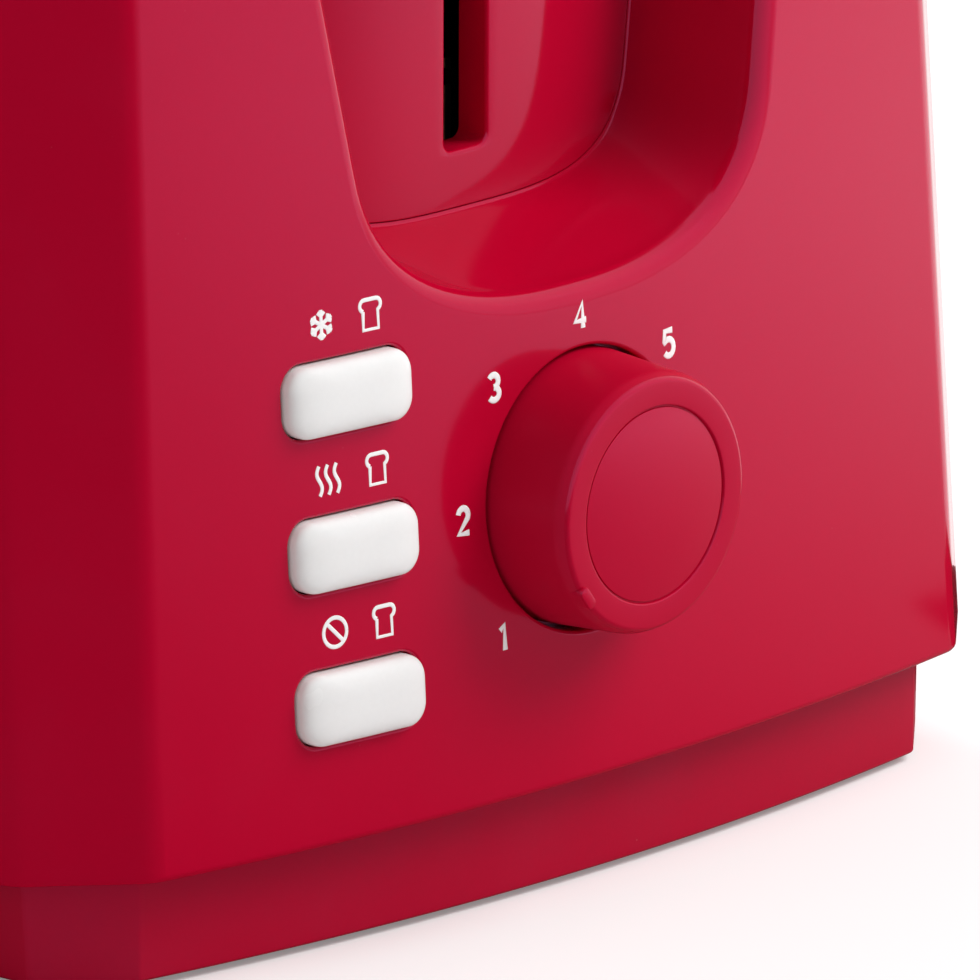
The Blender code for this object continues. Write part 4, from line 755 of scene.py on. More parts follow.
slot_half = 0.0038
lever_slot_top = 0.1620
lever_slot_depth = 0.0048
lever_slot_wall = 0.0018
lever_slot_corner = 0.0015
lever_slot_round = 0.0005
panel_edge_round = 0.0002
panel_gap = 0.00006 + panel_fillet


def panel_pad_solid(name, columns=24):
    """The pad: its bowed face in rows between the two sides of its outline, its rounded edge, its back."""
    work = bmesh.new()
    pad_back = panel_pad + panel_wall / 2
    loops = []
    for inset, depth in quarter_round(panel_edge_round, 5) + [(0, pad_back)]:
        outline = recess_outline(1, -panel_gap - inset, body_height - recess_lip, top_steps=columns)
        loops.append([work.verts.new((x, panel_y(x) + depth, z)) for x, z in outline])
    count = len(loops[0])
    for lower, upper in zip(loops, loops[1:]):
        for i in range(count):
            j = (i + 1) % count
            work.faces.new((lower[i], lower[j], upper[j], upper[i]))
    side_points = (count - (columns - 1) + 1) // 2
    for loop, depth in ((loops[0], 0), (loops[-1], pad_back)):
        right = loop[:side_points]
        left = [loop[0]] + [loop[-i] for i in range(1, side_points)]
        above = loop[side_points - 1:side_points + columns]
        rows = []
        for i in range(1, side_points - 1):
            inner = []
            for step in range(1, columns):
                x = mix(right[i].co.x, left[i].co.x, step / columns)
                inner.append(work.verts.new((x, panel_y(x) + depth, right[i].co.z)))
            rows.append([right[i], *inner, left[i]])
        rows.append(above)
        for step in range(columns):
            work.faces.new((loop[0], rows[0][step], rows[0][step + 1]))
        for lower, upper in zip(rows, rows[1:]):
            for step in range(columns):
                work.faces.new((lower[step], upper[step], upper[step + 1], lower[step + 1]))
    return mesh_object(name, work)


panel = panel_pad_solid("lever_panel_moulding")
flange = bowed_block("panel_flange", panel_pad, panel_pad + panel_wall, recess_bottom)
flange_outline = recess_outline(1, body_wall + panel_flange, body_height - body_wall - fit_gap)
flange_bar = through("flange_bar", flange_outline, (front_y(0, body_bottom), chamber_front))
combine(flange, "INTERSECT", flange_bar)
slot_middle = (lever_slot_bottom + lever_slot_top) / 2
slot_height = lever_slot_top - lever_slot_bottom


def lever_slot_outline(offset, corner):
    return [(x, slot_middle + z) for x, z in rounded_rectangle(
        2 * (slot_half + offset), slot_height + 2 * offset, corner)]


slot_tube = through("slot_tube", lever_slot_outline(lever_slot_wall, lever_slot_corner),
                    (panel_y(0) + panel_pad, panel_y(0) + lever_slot_depth))
combine(panel, "UNION", flange, slot_tube)
slot_end = (0, chamber_front - panel_y(0))
slot_rings = []
for out, depth in [(lever_slot_round, -overrun), *quarter_round(lever_slot_round, 4), slot_end]:
    outline = lever_slot_outline(out, lever_slot_corner + out)
    slot_rings.append([(x, panel_y(0) + depth, z) for x, z in outline])
combine(panel, "DIFFERENCE", loft("lever_slot", slot_rings))
smooth(panel)
panel_plastic = finish_with("red_panel_plastic", moulded, red, 0.0000012, red_gloss,
                            Drift=0.02, Roughness=0.07, Marks=0.04, Dust=0.1)
panel.data.materials.append(panel_plastic)
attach(panel, "body")
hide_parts("lever_panel")


# Lever handle. A red paddle pushed onto the carriage's arm, bowed across its
# width like the panel behind it and rounded on every edge.

arm_top = body_height - 0.0295
arm_bottom = arm_top - 0.0120
handle_half = 0.0230
handle_height = 0.0130
handle_depth = 0.0230
handle_corner = 0.0040
handle_round = 0.0022
handle_least_round = 0.0004
handle_end_round = 0.0010
handle_end_reach = 0.00062
handle_back = panel_y(0) - 0.0012
arm_half = 0.0018
arm_reach = 0.0143


def handle_section(x, shrink=0):
    """The paddle's outline at x: full height in the middle, lower where its corners are rounded off."""
    over = min(handle_corner, max(0, abs(x) - (handle_half - handle_corner)))
    height = handle_height - 2 * handle_corner + 2 * math.sqrt(handle_corner**2 - over**2)
    y_middle = handle_back + panel_curve(x) - handle_depth / 2
    outline = rounded_rectangle(handle_depth - 2 * shrink, height - 2 * shrink,
                                max(handle_round - shrink, handle_least_round))
    return [(x, y_middle + py, (arm_bottom + arm_top) / 2 + pz) for py, pz in outline]


handle_flat = handle_half - handle_corner
handle_steps = 10
right_sections = [(handle_flat * step / handle_steps, 0) for step in range(1, handle_steps)]
right_sections += [(handle_flat + handle_corner * math.sin(math.pi / 2 * step / handle_steps), 0)
                   for step in range(handle_steps - 2)]
right_sections += [(handle_half - handle_end_reach * left, handle_end_round * back)
                   for left, back in quarter_round(1, 4)[1:]]
handle_sections = [(-x, shrink) for x, shrink in reversed(right_sections)] + [(0, 0)] + right_sections
handle = loft("lever_paddle", [handle_section(x, shrink) for x, shrink in handle_sections])
combine(handle, "DIFFERENCE", block("arm_socket", (-arm_half, handle_back - arm_reach, arm_bottom - fit_gap),
                                    (arm_half, handle_back + overrun, arm_top + fit_gap)))
smooth(handle, 40)
handle.data.materials.append(panel_plastic)
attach(handle, "lever")
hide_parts("lever_handle")


# Browning knob. A hollow red cap that tapers to its face, with a ring round a
# crowned disc and one small nub on its rim as a pointer.

knob_base_radius = 0.0176
knob_side_radius = 0.0167
knob_face_radius = 0.0160
knob_chamfer = 0.0016
knob_wall = 0.0020
knob_disc_radius = 0.0123
knob_groove = 0.0003
knob_crown = 0.0008
knob_ring_drop = 0.0006
knob_groove_depth = 0.0002
knob_bend = 0.0005
knob_shoulder = 0.0040
knob_hub_radius = 0.0052
knob_hub_start = 0.0018
knob_bore_radius = 0.0033
knob_bore_end = 0.0083
knob_back = dish_floor - 2 * running_gap
knob_face_y = front_at_knob - knob_reach
knob_length = knob_back - knob_face_y


def softened(points, reach, steps=4):
    """The path with each corner turned into a small bend."""
    points = [Vector(point) for point in points]
    path = [points[0]]
    for before, corner, after in zip(points, points[1:], points[2:]):
        start = corner + (before - corner).normalized() * reach
        end = corner + (after - corner).normalized() * reach
        for step in range(steps + 1):
            share = step / steps
            path.append(start.lerp(corner, share).lerp(corner.lerp(end, share), share))
    return path + [points[-1]]


knob_ring_z = knob_length - knob_ring_drop
knob_rim_z = knob_length - knob_crown
side_start = mix(knob_side_radius, knob_base_radius, 0.2)
knob_profile = [(knob_disc_radius * step / 16, knob_length - knob_crown * (step / 16)**2)
                for step in range(17)]
knob_profile += [(knob_disc_radius + share * knob_groove, knob_rim_z - knob_groove_depth)
                 for share in (0.3, 0.7)]
knob_profile += softened([
    (knob_disc_radius + knob_groove, knob_rim_z), (knob_disc_radius + 1.2 * knob_groove, knob_ring_z),
    (mix(knob_disc_radius, knob_face_radius, 0.5), knob_ring_z)], 0.00015)
knob_profile += softened([
    (mix(knob_disc_radius, knob_face_radius, 0.6), knob_ring_z), (knob_face_radius, knob_ring_z),
    (knob_side_radius, knob_ring_z - knob_chamfer), (side_start, knob_ring_z - knob_shoulder)],
    knob_bend, 6)
knob_profile += [(mix(side_start, knob_base_radius, step / 8),
                  mix(knob_ring_z - knob_shoulder, 0.0002, step / 8)) for step in range(1, 9)]
knob_profile += [
    (knob_base_radius - 0.0002, 0), (knob_base_radius - knob_wall, 0),
    (knob_face_radius - knob_wall - 0.0006, knob_length - knob_wall),
    (knob_hub_radius, knob_length - knob_wall), (knob_hub_radius, knob_hub_start),
    (knob_bore_radius, knob_hub_start), (knob_bore_radius, knob_bore_end), (0, knob_bore_end)]
knob = spun("browning_knob_cap", [tuple(point) for point in knob_profile],
            (0, knob_back, knob_z), (0, -1, 0), 160)

# The nub: a short bar across the cap's chamfer
nub_turn = math.radians(217)
nub_radius = 0.0158
nub_length = 0.0016
nub_width = 0.0032
nub_corner = 0.0006
nub_along = Vector((math.cos(nub_turn), math.sin(nub_turn)))
nub_across = Vector((-nub_along.y, nub_along.x))
nub_rings = []
for inset, depth in ((0.0004, 0.00005), (0.00012, 0.00013), (0, 0.0004), (0, 0.0036)):
    ring = []
    for u, v in rounded_rectangle(nub_length - 2 * inset, nub_width - 2 * inset, nub_corner - inset, 6):
        spot = nub_along * (nub_radius + u) + nub_across * v
        ring.append((spot.x, knob_face_y + depth, knob_z + spot.y))
    nub_rings.append(ring)
combine(knob, "UNION", loft("knob_nub", nub_rings))
smooth(knob, 28)

# The face is polished and the side is left as moulded, which is duller
knob.data.materials.append(finish_with("red_knob_plastic", moulded, red, 0.0000016, red_gloss,
                                       Drift=0.02, Roughness=0.15, Marks=0.06, Dust=0.1))
knob.data.materials.append(finish_with("red_matte_plastic", moulded, red, 0.000004,
                                       {**red_gloss, "Specular IOR Level": 0.2},
                                       Drift=0.02, Roughness=0.45, Marks=0.08, Dust=0.1))
for face in knob.data.polygons:
    face.material_index = int(face.center.y > knob_face_y + knob_ring_drop + knob_bend)
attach(knob, "knob")
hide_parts("browning_knob")


# Three push buttons, defrost, reheat and cancel: white caps with soft edges
# and a crowned face, a flange behind the shell and a stem to the switch.

button_proud = 0.0022
button_power = 3.6
button_steps = 22
button_lip = 0.0014
button_lip_thickness = 0.0012
button_lip_corner = button_corner + 0.0012
stem_half = 0.0025
white = (0.80, 0.795, 0.79)
button_plastic = finish_with("white_button_plastic", moulded, white, 0.0000012, {
    "IOR": 1.48, "Subsurface Weight": 0.12, "Subsurface Radius": (1.0, 0.85, 0.8),
    "Subsurface Scale": 0.0012}, Drift=0.015, Roughness=0.22, Marks=0.08, Dust=0.1)
for name, z in button_z.items():
    stem_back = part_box(f"{name}_button")[1].y
    back = front_y(button_x - button_width / 2, z + button_height / 2) + body_wall + fit_gap
    rings = [[(px, back + fit_gap, pz) for px, _, pz in button_ring(z, 0, 0)]]
    for step in range(button_steps):
        share = math.cos(math.pi / 2 * step / button_steps) ** 0.7
        rise = button_proud * (1 - share**button_power) ** (1 / button_power)
        spots = [(mix(button_x, px, share), mix(z, pz, share)) for px, _, pz in rings[0]]
        rings.append([(px, front_y(px, pz) - rise, pz) for px, pz in spots])
    cap = loft(f"{name}_push_button", rings)
    lip = rounded_rectangle(button_width + 2 * button_lip, button_height + 2 * button_lip, button_lip_corner)
    flange = through("button_flange", [(button_x + px, z + pz) for px, pz in lip],
                     (back, back + button_lip_thickness))
    stem = block("button_stem", (button_x - stem_half, back + fit_gap, z - stem_half),
                 (button_x + stem_half, stem_back, z + stem_half))
    combine(cap, "UNION", flange, stem)
    smooth(cap, 35)
    cap.data.materials.append(button_plastic)
    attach(cap, name)
    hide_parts(f"{name}_button")


# Base. A shallow moulding in the same red, duller than the shell and drawn in
# under its edge. The shell's rim sits round its own, and four screws join them.

foot_standoff = 0.0010
base_inset = 0.0052
base_draft = 0.0010
base_floor = 0.0030
base_wall = 0.0022
base_edge_round = 0.0006
ledge_z = body_bottom + 0.0006
rim_inset = body_wall + fit_gap
rim_top = ledge_z + 0.0080
floor_top = foot_standoff + base_floor
base_rings = [plan(foot_standoff + rise, base_inset + base_draft + inset)
              for inset, rise in quarter_round(base_edge_round, 4)]
base = loft("base_moulding", base_rings + [
    plan(ledge_z, base_inset), plan(ledge_z, rim_inset), plan(rim_top, rim_inset)])
combine(base, "DIFFERENCE", loft("base_hollow", [
    plan(floor_top, base_inset + base_draft + base_wall),
    plan(ledge_z + base_wall, base_inset + base_wall),
    plan(ledge_z + base_wall + fit_gap, rim_inset + base_wall),
    plan(rim_top + overrun, rim_inset + base_wall)]))

# Rails that the crumb tray slides between, and the posts under the shell's bosses
rail_inner, rail_outer, rail_top = 0.0520, 0.0580, 0.0140
rail_overlap = 0.0032
rail_front = chamber_front - rail_overlap
adds = []
for sx in (-1, 1):
    near, far = sorted((sx * rail_inner, sx * rail_outer))
    adds.append(block("rail", (near, rail_front, floor_top - fit_gap),
                      (far, chamber_rear + rail_overlap, rail_top)))
for x, y in post_spots:
    adds.append(rod("post", (x, y, foot_standoff + base_floor / 2),
                    (x, y, boss_bottom - fit_gap), post_radius))
combine(base, "UNION", *adds)

# The tray's mouth, screw wells, foot sockets, the gland's hole and seven vents
tray_height = 0.0072
well_radius, well_depth = 0.0033, 0.0024
screw_hole_radius = 0.0019
socket_radius, socket_depth = 0.0083, 0.0015
gland_hole_radius = 0.0045
mouth_top = floor_top + fit_gap + tray_height + running_gap
cuts = [block("mouth", (-rail_inner, chamber_rear + 2 * base_wall, floor_top),
              (rail_inner, middle_y + body_length / 2 + overrun, mouth_top))]
foot_spots = {f"{side}_{end}": (sx * 0.0640, middle_y + sy * 0.0840)
              for side, sx in (("left", -1), ("right", 1)) for end, sy in (("front", -1), ("rear", 1))}
for x, y in post_spots:
    cuts.append(rod("well", (x, y, foot_standoff - overrun), (x, y, foot_standoff + well_depth), well_radius))
    cuts.append(rod("screw_hole", (x, y, foot_standoff),
                    (x, y, boss_bottom - fit_gap + overrun), screw_hole_radius))
for x, y in foot_spots.values():
    cuts.append(rod("socket", (x, y, foot_standoff - overrun),
                    (x, y, foot_standoff + socket_depth), socket_radius))
gland_x, gland_z = 0.0620, (floor_top + ledge_z) / 2
gland_wall = middle_y - (bow(gland_x, front_bow) - body_length / 2) - base_inset
cuts.append(rod("gland_hole", (gland_x, gland_wall - 2 * base_wall - overrun, gland_z),
                (gland_x, gland_wall + overrun, gland_z), gland_hole_radius))
vent_width, vent_length, vent_corner, vent_step = 0.0030, 0.0240, 0.0014, 0.0070
vent_y = (rail_front + front_y(0, body_bottom) + base_inset + base_wall) / 2
for place in range(-3, 4):
    outline = rounded_rectangle(vent_width, vent_length, vent_corner)
    cuts.append(loft("vent", [[(place * vent_step + px, vent_y + py, z) for px, py in outline]
                              for z in (foot_standoff - overrun, floor_top + overrun)]))
combine(base, "DIFFERENCE", *cuts)
smooth(base)
base.data.materials.append(finish_with("red_base_plastic", moulded, red, 0.0000025, red_gloss,
                                       Drift=0.03, Roughness=0.28, Marks=0.08, Dust=0.5))
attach(base, "body")
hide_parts("base_plinth")


# Printed numbers 1 to 5 round the knob and a small generic sign over each
# button: a thin film of white ink that follows the bowed front face.

ink_film = 0.00004
number_scale = 0.84
number_line = 0.00086
sign_line = 0.00056
ink_paint = finish_with("white_print", moulded, (0.88, 0.87, 0.87), 0.000003, {"IOR": 1.45},
                        Drift=0.03, Roughness=0.4, Marks=0.1, Dust=0.0)


def on_front_face(obj, x, z):
    """Lays a flat mesh drawn in X and Y onto the front face, its Z becoming height above the plastic."""
    for vertex in obj.data.vertices:
        u, v, w = vertex.co
        px, pz = x + u, z + v * math.cos(front_lean)
        vertex.co = (px, front_y(px, pz) - w, pz)
    return obj


def arc(x, z, radius_x, radius_z, start, end, steps=14):
    turns = [math.radians(mix(start, end, step / steps)) for step in range(steps + 1)]
    return [(x + radius_x * math.cos(turn), z + radius_z * math.sin(turn)) for turn in turns]


def bread_slice(x):
    """The outline of a slice of bread, 3.8 units high."""
    left, right = arc(x - 0.95, 1.15, 0.75, 0.75, 250, 90, 8), arc(x + 0.95, 1.15, 0.75, 0.75, 90, -70, 8)
    return [*left, *right, (x + 1.25, -1.9), (x - 1.25, -1.9), left[0]]


def spoke(x, turn):
    """One arm of a snow crystal, with its pair of barbs."""
    along = Vector((math.cos(math.radians(turn)), math.sin(math.radians(turn))))
    across = Vector((-along.y, along.x)) * 0.55
    middle, tip = Vector((x, 0)), Vector((x, 0)) + along * 1.9
    barb = middle + along * 1.05
    return [[middle, tip], [barb + along * 0.55 + across, barb, barb + along * 0.55 - across]]


def heat_wave(x):
    return [(x + 0.38 * math.sin(math.pi * step / 7), mix(-1.9, 1.9, step / 14)) for step in range(15)]


# Each drawing is a list of lines in millimetres, about a middle of its own
drawings = {
    "printed_1": [[(-0.75, 1.15), (0.15, 1.9), (0.15, -1.9)]],
    "printed_2": [arc(0, 0.85, 1.0, 1.05, 170, -35) + [(-1.05, -1.9), (1.1, -1.9)]],
    "printed_3": [arc(0, 0.95, 0.95, 0.95, 150, -90), arc(0, -0.95, 1.05, 0.95, 90, -150)],
    "printed_4": [[(0.5, -1.9), (0.5, 1.9), (-1.2, -0.75), (1.2, -0.75)]],
    "printed_5": [[(0.95, 1.9), (-0.75, 1.9), (-0.9, 0.3)] + arc(0, -0.65, 1.1, 1.25, 140, -145)],
    "sign_defrost": [line for turn in range(30, 390, 60) for line in spoke(-4.0, turn)] + [bread_slice(4.0)],
    "sign_reheat": [heat_wave(x) for x in (-5.4, -4.0, -2.6)] + [bread_slice(4.0)],
    "sign_cancel": [arc(-4.0, 0, 1.85, 1.85, 0, 360, 32), [(-5.3, 1.3), (-2.7, -1.3)], bread_slice(4.0)],
}
spots = {
    "printed_1": (-0.0161, 0.0360), "printed_2": (-0.0222, 0.0520), "printed_3": (-0.0160, 0.0678),
    "printed_4": (-0.0002, 0.0740), "printed_5": (0.0159, 0.0674)}
spots.update({f"sign_{name}": (button_x + 0.0005, z + 0.0092) for name, z in button_z.items()})


def end_with(tree, geometry, start, end):
    """Makes copies real, gives them the tree's material and puts them out."""
    real = place_node(tree, "GeometryNodeRealizeInstances", {"Geometry": geometry})
    done = place_node(tree, "GeometryNodeSetMaterial", {
        "Geometry": real.outputs["Geometry"], "Material": start.outputs["Material"]})
    put_out(tree, end, Geometry=done.outputs["Geometry"])


# A line of one width with round ends along every edge of the mesh that it is given
drawn_line, line_in, line_out = node_group("drawn_line", [
    ("Geometry", "NodeSocketGeometry", None), ("Radius", "NodeSocketFloat", 0.001),
    ("Sides", "NodeSocketInt", 8), ("Material", "NodeSocketMaterial", None),
], [("Geometry", "NodeSocketGeometry")], "GeometryNodeTree")
line_path = place_node(drawn_line, "GeometryNodeMeshToCurve", {"Mesh": line_in.outputs["Geometry"]})
line_section = place_node(drawn_line, "GeometryNodeCurvePrimitiveCircle", {
    "Resolution": line_in.outputs["Sides"], "Radius": line_in.outputs["Radius"]})
line_tube = place_node(drawn_line, "GeometryNodeCurveToMesh", {
    "Curve": line_path.outputs["Curve"], "Profile Curve": line_section.outputs["Curve"], "Fill Caps": True})
line_round = place_node(drawn_line, "GeometryNodeSetShadeSmooth", {"Geometry": line_tube.outputs["Mesh"]})
end_with(drawn_line, line_round.outputs["Geometry"], line_in, line_out)


def path_object(name, lines):
    """A mesh of edges only, one open chain for each list of points."""
    mesh = bpy.data.meshes.new(name)
    points, edges = [], []
    for line in lines:
        edges += [(len(points) + i, len(points) + i + 1) for i in range(len(line) - 1)]
        points += [tuple(point) for point in line]
    mesh.from_pydata(points, edges, [])
    made = bpy.data.objects.new(name, mesh)
    scene.collection.objects.link(made)
    return made


def grow(obj, tree, values):
    """Runs a geometry tree on a piece and keeps what comes out as its plain mesh."""
    modifier = obj.modifiers.new(tree.name, "NODES")
    modifier.node_group = tree
    for socket in tree.interface.items_tree:
        if socket.in_out == "INPUT" and socket.name in values:
            modifier[socket.identifier] = values[socket.name]
    graph = bpy.context.evaluated_depsgraph_get()
    mesh = bpy.data.meshes.new_from_object(obj.evaluated_get(graph))
    obj.modifiers.clear()
    obj.data = mesh
    mesh.name = obj.name
    return obj


for name, lines in drawings.items():
    size, width = (number_scale, number_line) if name.startswith("printed") else (1.0, sign_line)
    drawn = path_object(name, [[(x * size / 1000, z * size / 1000, 0) for x, z in line] for line in lines])
    grow(drawn, drawn_line, {"Radius": width / 2, "Sides": 8, "Material": ink_paint})
    for vertex in drawn.data.vertices:
        vertex.co.z *= ink_film / (width / 2)
    on_front_face(drawn, *spots[name])
    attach(drawn, "body")


# Chassis. A rear plate of galvanised steel and a front plate painted black as painted shade, for the dark
# seen through the lever slot, tabbed to two bright side reflectors round the bread chamber.

rolled, r_in, r_out = node_group("rolled_steel", [
    ("Color", "NodeSocketColor", (0.55, 0.55, 0.54, 1)),
    ("Stretch", "NodeSocketVector", (1.0, 1.0, 1.0)),
    ("Roughness", "NodeSocketFloat", 0.3),
    ("Spangle", "NodeSocketFloat", 0.2),
    ("Tarnish", "NodeSocketFloat", 0.2),
], finish_outputs)
r_place = place_node(rolled, "ShaderNodeTexCoord").outputs["Object"]
r_drawn = place_node(rolled, "ShaderNodeVectorMath", {
    0: r_place, 1: r_in.outputs["Stretch"]}, operation="MULTIPLY")
r_streak = noise(rolled, r_drawn.outputs[0], 0.0007, 3.0)
r_patch = noise(rolled, r_place, 0.035, 4.0, 0.6)
r_grey = place_node(rolled, "ShaderNodeSeparateXYZ", {0: cells(rolled, r_place, 0.006)["Color"]}).outputs["X"]
r_spangle = worked_out(rolled, "MULTIPLY_ADD", remap(rolled, r_grey, -0.5, 0.5), r_in.outputs["Spangle"], 1.0)
r_tone = worked_out(rolled, "MULTIPLY", remap(rolled, r_streak, 0.90, 1.10), r_spangle)
r_tarnished = remap(rolled, r_patch, 0.0, 1.0, 0.35, 0.70)
r_stain = worked_out(rolled, "MULTIPLY", r_tarnished, r_in.outputs["Tarnish"])
put_out(rolled, r_out,
        Color=blended(rolled, r_stain, toned(rolled, r_in.outputs["Color"], r_tone), (0.24, 0.16, 0.09, 1)),
        Roughness=worked_out(rolled, "ADD", remap(rolled, r_patch, -0.06, 0.10), r_in.outputs["Roughness"]),
        Height=r_streak)

metal = {"Metallic": 1.0}
galvanised = finish_with("galvanised_steel", rolled, (0.56, 0.57, 0.57), 0.00001, metal,
                         Stretch=(1, 1, 0.08), Roughness=0.34, Spangle=0.28, Tarnish=0.22)
reflector = finish_with("bright_reflector", rolled, (0.72, 0.72, 0.71), 0.000006, metal,
                        Stretch=(1, 0.05, 1), Roughness=0.2, Spangle=0.05, Tarnish=0.35)
# Black paint as painted shade: it darkens the front plate that shows through the lever slot.
front_plate_painted_shade = finish_with("black_enamel", moulded, (0.012, 0.012, 0.012), 0.00001, {"IOR": 1.5},
                     Drift=0.2, Roughness=0.4, Marks=0.15, Dust=0.4)


def give(paint, *nodes):
    """Puts a finish on CAD pieces that keep their own shape."""
    for node in nodes:
        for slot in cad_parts[node].material_slots:
            slot.material = paint


give(galvanised, "rear_plate")
# The front plate's black is painted shade for the dark behind the lever slot.
give(front_plate_painted_shade, "front_plate")
give(reflector, "side_reflector_left", "side_reflector_right")


# Lift. A stamped carriage slides on a ground rod and carries the two racks and
# the catch's keeper. The zinc-plated lift spring hangs beside the rod.

plated = finish_with("plated_steel", rolled, (0.50, 0.50, 0.47), 0.000008, metal,
                     Stretch=(1, 0.1, 1), Roughness=0.3, Spangle=0.1, Tarnish=0.2)
ground = finish_with("ground_rod", rolled, (0.64, 0.64, 0.64), 0.000003, metal,
                     Stretch=(0.1, 0.1, 1), Roughness=0.16, Spangle=0.0, Tarnish=0.08)
# Near-black steel as painted shade: it keeps the carriage dark behind the lever slot.
carriage_painted_shade = finish_with("blackened_steel", rolled, (0.05, 0.05, 0.05), 0.000008, metal,
                        Stretch=(1, 0.1, 1), Roughness=0.4, Spangle=0.1, Tarnish=0.1)
give(carriage_painted_shade, "carriage")
give(plated, "bread_rack_left", "bread_rack_right", "armature")
give(ground, "guide_rod")

spring_wire = 0.00050
spring_turns = 12
spring_hook = 0.0030


def helix(middle, radius, bottom, top, turns, steps):
    """The points of an upright coil, with so many steps to a turn."""
    points = []
    for step in range(turns * steps + 1):
        turn = 2 * math.pi * step / steps
        points.append((middle.x + radius * math.cos(turn), middle.y + radius * math.sin(turn),
                       mix(bottom, top, step / (turns * steps))))
    return points


low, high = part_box("lift_spring")
middle = (low + high) / 2
coil_low, coil_high = low.z + spring_hook, high.z - spring_hook
coil = helix(middle, (high.y - low.y) / 2 - spring_wire, coil_low, coil_high, spring_turns, 20)
hooks = [(middle.x, middle.y, z) for z in (low.z, coil_low, coil_high, high.z)]
lift_spring = path_object("lift_spring_coil", [hooks[:2] + coil + hooks[2:]])
grow(lift_spring, drawn_line, {"Radius": spring_wire, "Sides": 8, "Material": plated})
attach(lift_spring, "body")
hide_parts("lift_spring")


# Heaters. Three sheets of pressed mica, slotted into the plates, each wound
# with eleven turns of resistance wire that have browned with use.

mica_group, f_in, f_out = node_group("pressed_mica", [
    ("Color", "NodeSocketColor", (0.5, 0.45, 0.35, 1)),
    ("Roughness", "NodeSocketFloat", 0.5),
    ("Scorch", "NodeSocketFloat", 0.4),
], finish_outputs)
f_place = place_node(mica_group, "ShaderNodeTexCoord").outputs["Object"]
f_cells = place_node(mica_group, "ShaderNodeSeparateXYZ", {0: cells(mica_group, f_place, 0.0035)["Color"]})
f_flake = f_cells.outputs["X"]
f_plain = toned(mica_group, f_in.outputs["Color"], remap(mica_group, f_flake, 0.80, 1.20))
f_heat = remap(mica_group, noise(mica_group, f_place, 0.03, 3.0), 0.0, 1.0, 0.4, 0.75)
f_burn = worked_out(mica_group, "MULTIPLY", f_heat, f_in.outputs["Scorch"])
f_dull = remap(mica_group, f_flake, -0.15, 0.15)
put_out(mica_group, f_out, Color=blended(mica_group, f_burn, f_plain, (0.16, 0.10, 0.05, 1)),
        Roughness=worked_out(mica_group, "ADD", f_dull, f_in.outputs["Roughness"]), Height=f_flake)
mica = finish_with("pressed_mica_sheet", mica_group, (0.50, 0.45, 0.34), 0.00004, {"IOR": 1.56},
                   Roughness=0.5, Scorch=0.5)
give(mica, "heater_board_left", "heater_board_centre", "heater_board_right")

resistance = finish_with("resistance_wire", rolled, (0.20, 0.18, 0.16), 0.000006, metal,
                         Stretch=(1, 1, 0.2), Roughness=0.42, Spangle=0.0, Tarnish=0.7)
winding_turns = 11
winding_wire = 0.0004
winding_margin = 0.0120
winding_bend = 0.0008
winding_pitch = (chamber_rear - chamber_front - 2 * winding_margin) / winding_turns
for side in ("left", "centre", "right"):
    low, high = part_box(f"heater_wire_{side}")
    left, right = low.x + winding_wire, high.x - winding_wire
    under, over = low.z + winding_wire, high.z - winding_wire
    turns = []
    for turn in range(winding_turns):
        y = chamber_front + winding_margin + winding_pitch * turn
        back = y + winding_pitch / 2
        turns += [(left, y, under), (left, y, over), (right, back, over), (right, back, under)]
    winding = path_object(f"heater_winding_{side}", [softened(turns, winding_bend)])
    grow(winding, drawn_line, {"Radius": winding_wire, "Sides": 8, "Material": resistance})
    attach(winding, "body")
    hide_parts(f"heater_wire_{side}")


# Bread guards. Four frames of welded stainless wire, each on a pivot wire that
# turns in both plates, with five upright bars that keep the bread off the mica.

stainless = finish_with("stainless_wire", rolled, (0.60, 0.59, 0.57), 0.000004, metal,
                        Stretch=(1, 1, 0.1), Roughness=0.26, Spangle=0.0, Tarnish=0.35)
guard_wire = 0.0008
guard_bar = 0.8 * guard_wire
guard_bend = 0.0050
guard_bays = 6
front, back = chamber_middle - slot_length / 2, chamber_middle + slot_length / 2
for side in ("left", "right"):
    for inner in ("outer", "inner"):
        name = f"guard_{side}_{inner}"
        low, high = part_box(f"bread_{name}")
        x, pivot, top = (low.x + high.x) / 2, low.z + guard_wire, high.z - guard_wire
        outer_frame = path_object(f"{name}_wires", [
            [(x, low.y, pivot), (x, high.y, pivot)],
            softened([(x, front, pivot), (x, front, top), (x, back, top), (x, back, pivot)], guard_bend, 8)])
        grow(outer_frame, drawn_line, {"Radius": guard_wire, "Sides": 12, "Material": stainless})
        uprights = [mix(front, back, bay / guard_bays) for bay in range(1, guard_bays)]
        bars = path_object(f"{name}_bars", [[(x, y, pivot), (x, y, top)] for y in uprights])
        grow(bars, drawn_line, {"Radius": guard_bar, "Sides": 10, "Material": stainless})
        work = bmesh.new()
        work.from_mesh(outer_frame.data)
        work.from_mesh(bars.data)
        work.to_mesh(outer_frame.data)
        work.free()
        bpy.data.objects.remove(bars)
        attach(outer_frame, name)
        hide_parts(f"bread_{name}")


# Crumb tray. Folded from thin aluminium-coated sheet with pressed ribs across
# its floor, and a pull at the rear. It slides on the rails of the base.

tray_wall = 0.0010
tray_corner = 0.0030
tray_least_corner = 0.0008
tray_bend = 0.0010
tray_inner_bend = 0.0006
tray_edge = 0.0002
tray_grip = 0.0105
tray_low, tray_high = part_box("crumb_tray")
tray_back = tray_high.y - tray_grip
tray_middle = (tray_low.y + tray_back) / 2


def tray_ring(inset, z):
    outline = rounded_rectangle(tray_high.x - tray_low.x - 2 * inset, tray_back - tray_low.y - 2 * inset,
                                max(tray_corner - inset, tray_least_corner), 6)
    return [(px, tray_middle + py, z) for px, py in outline]


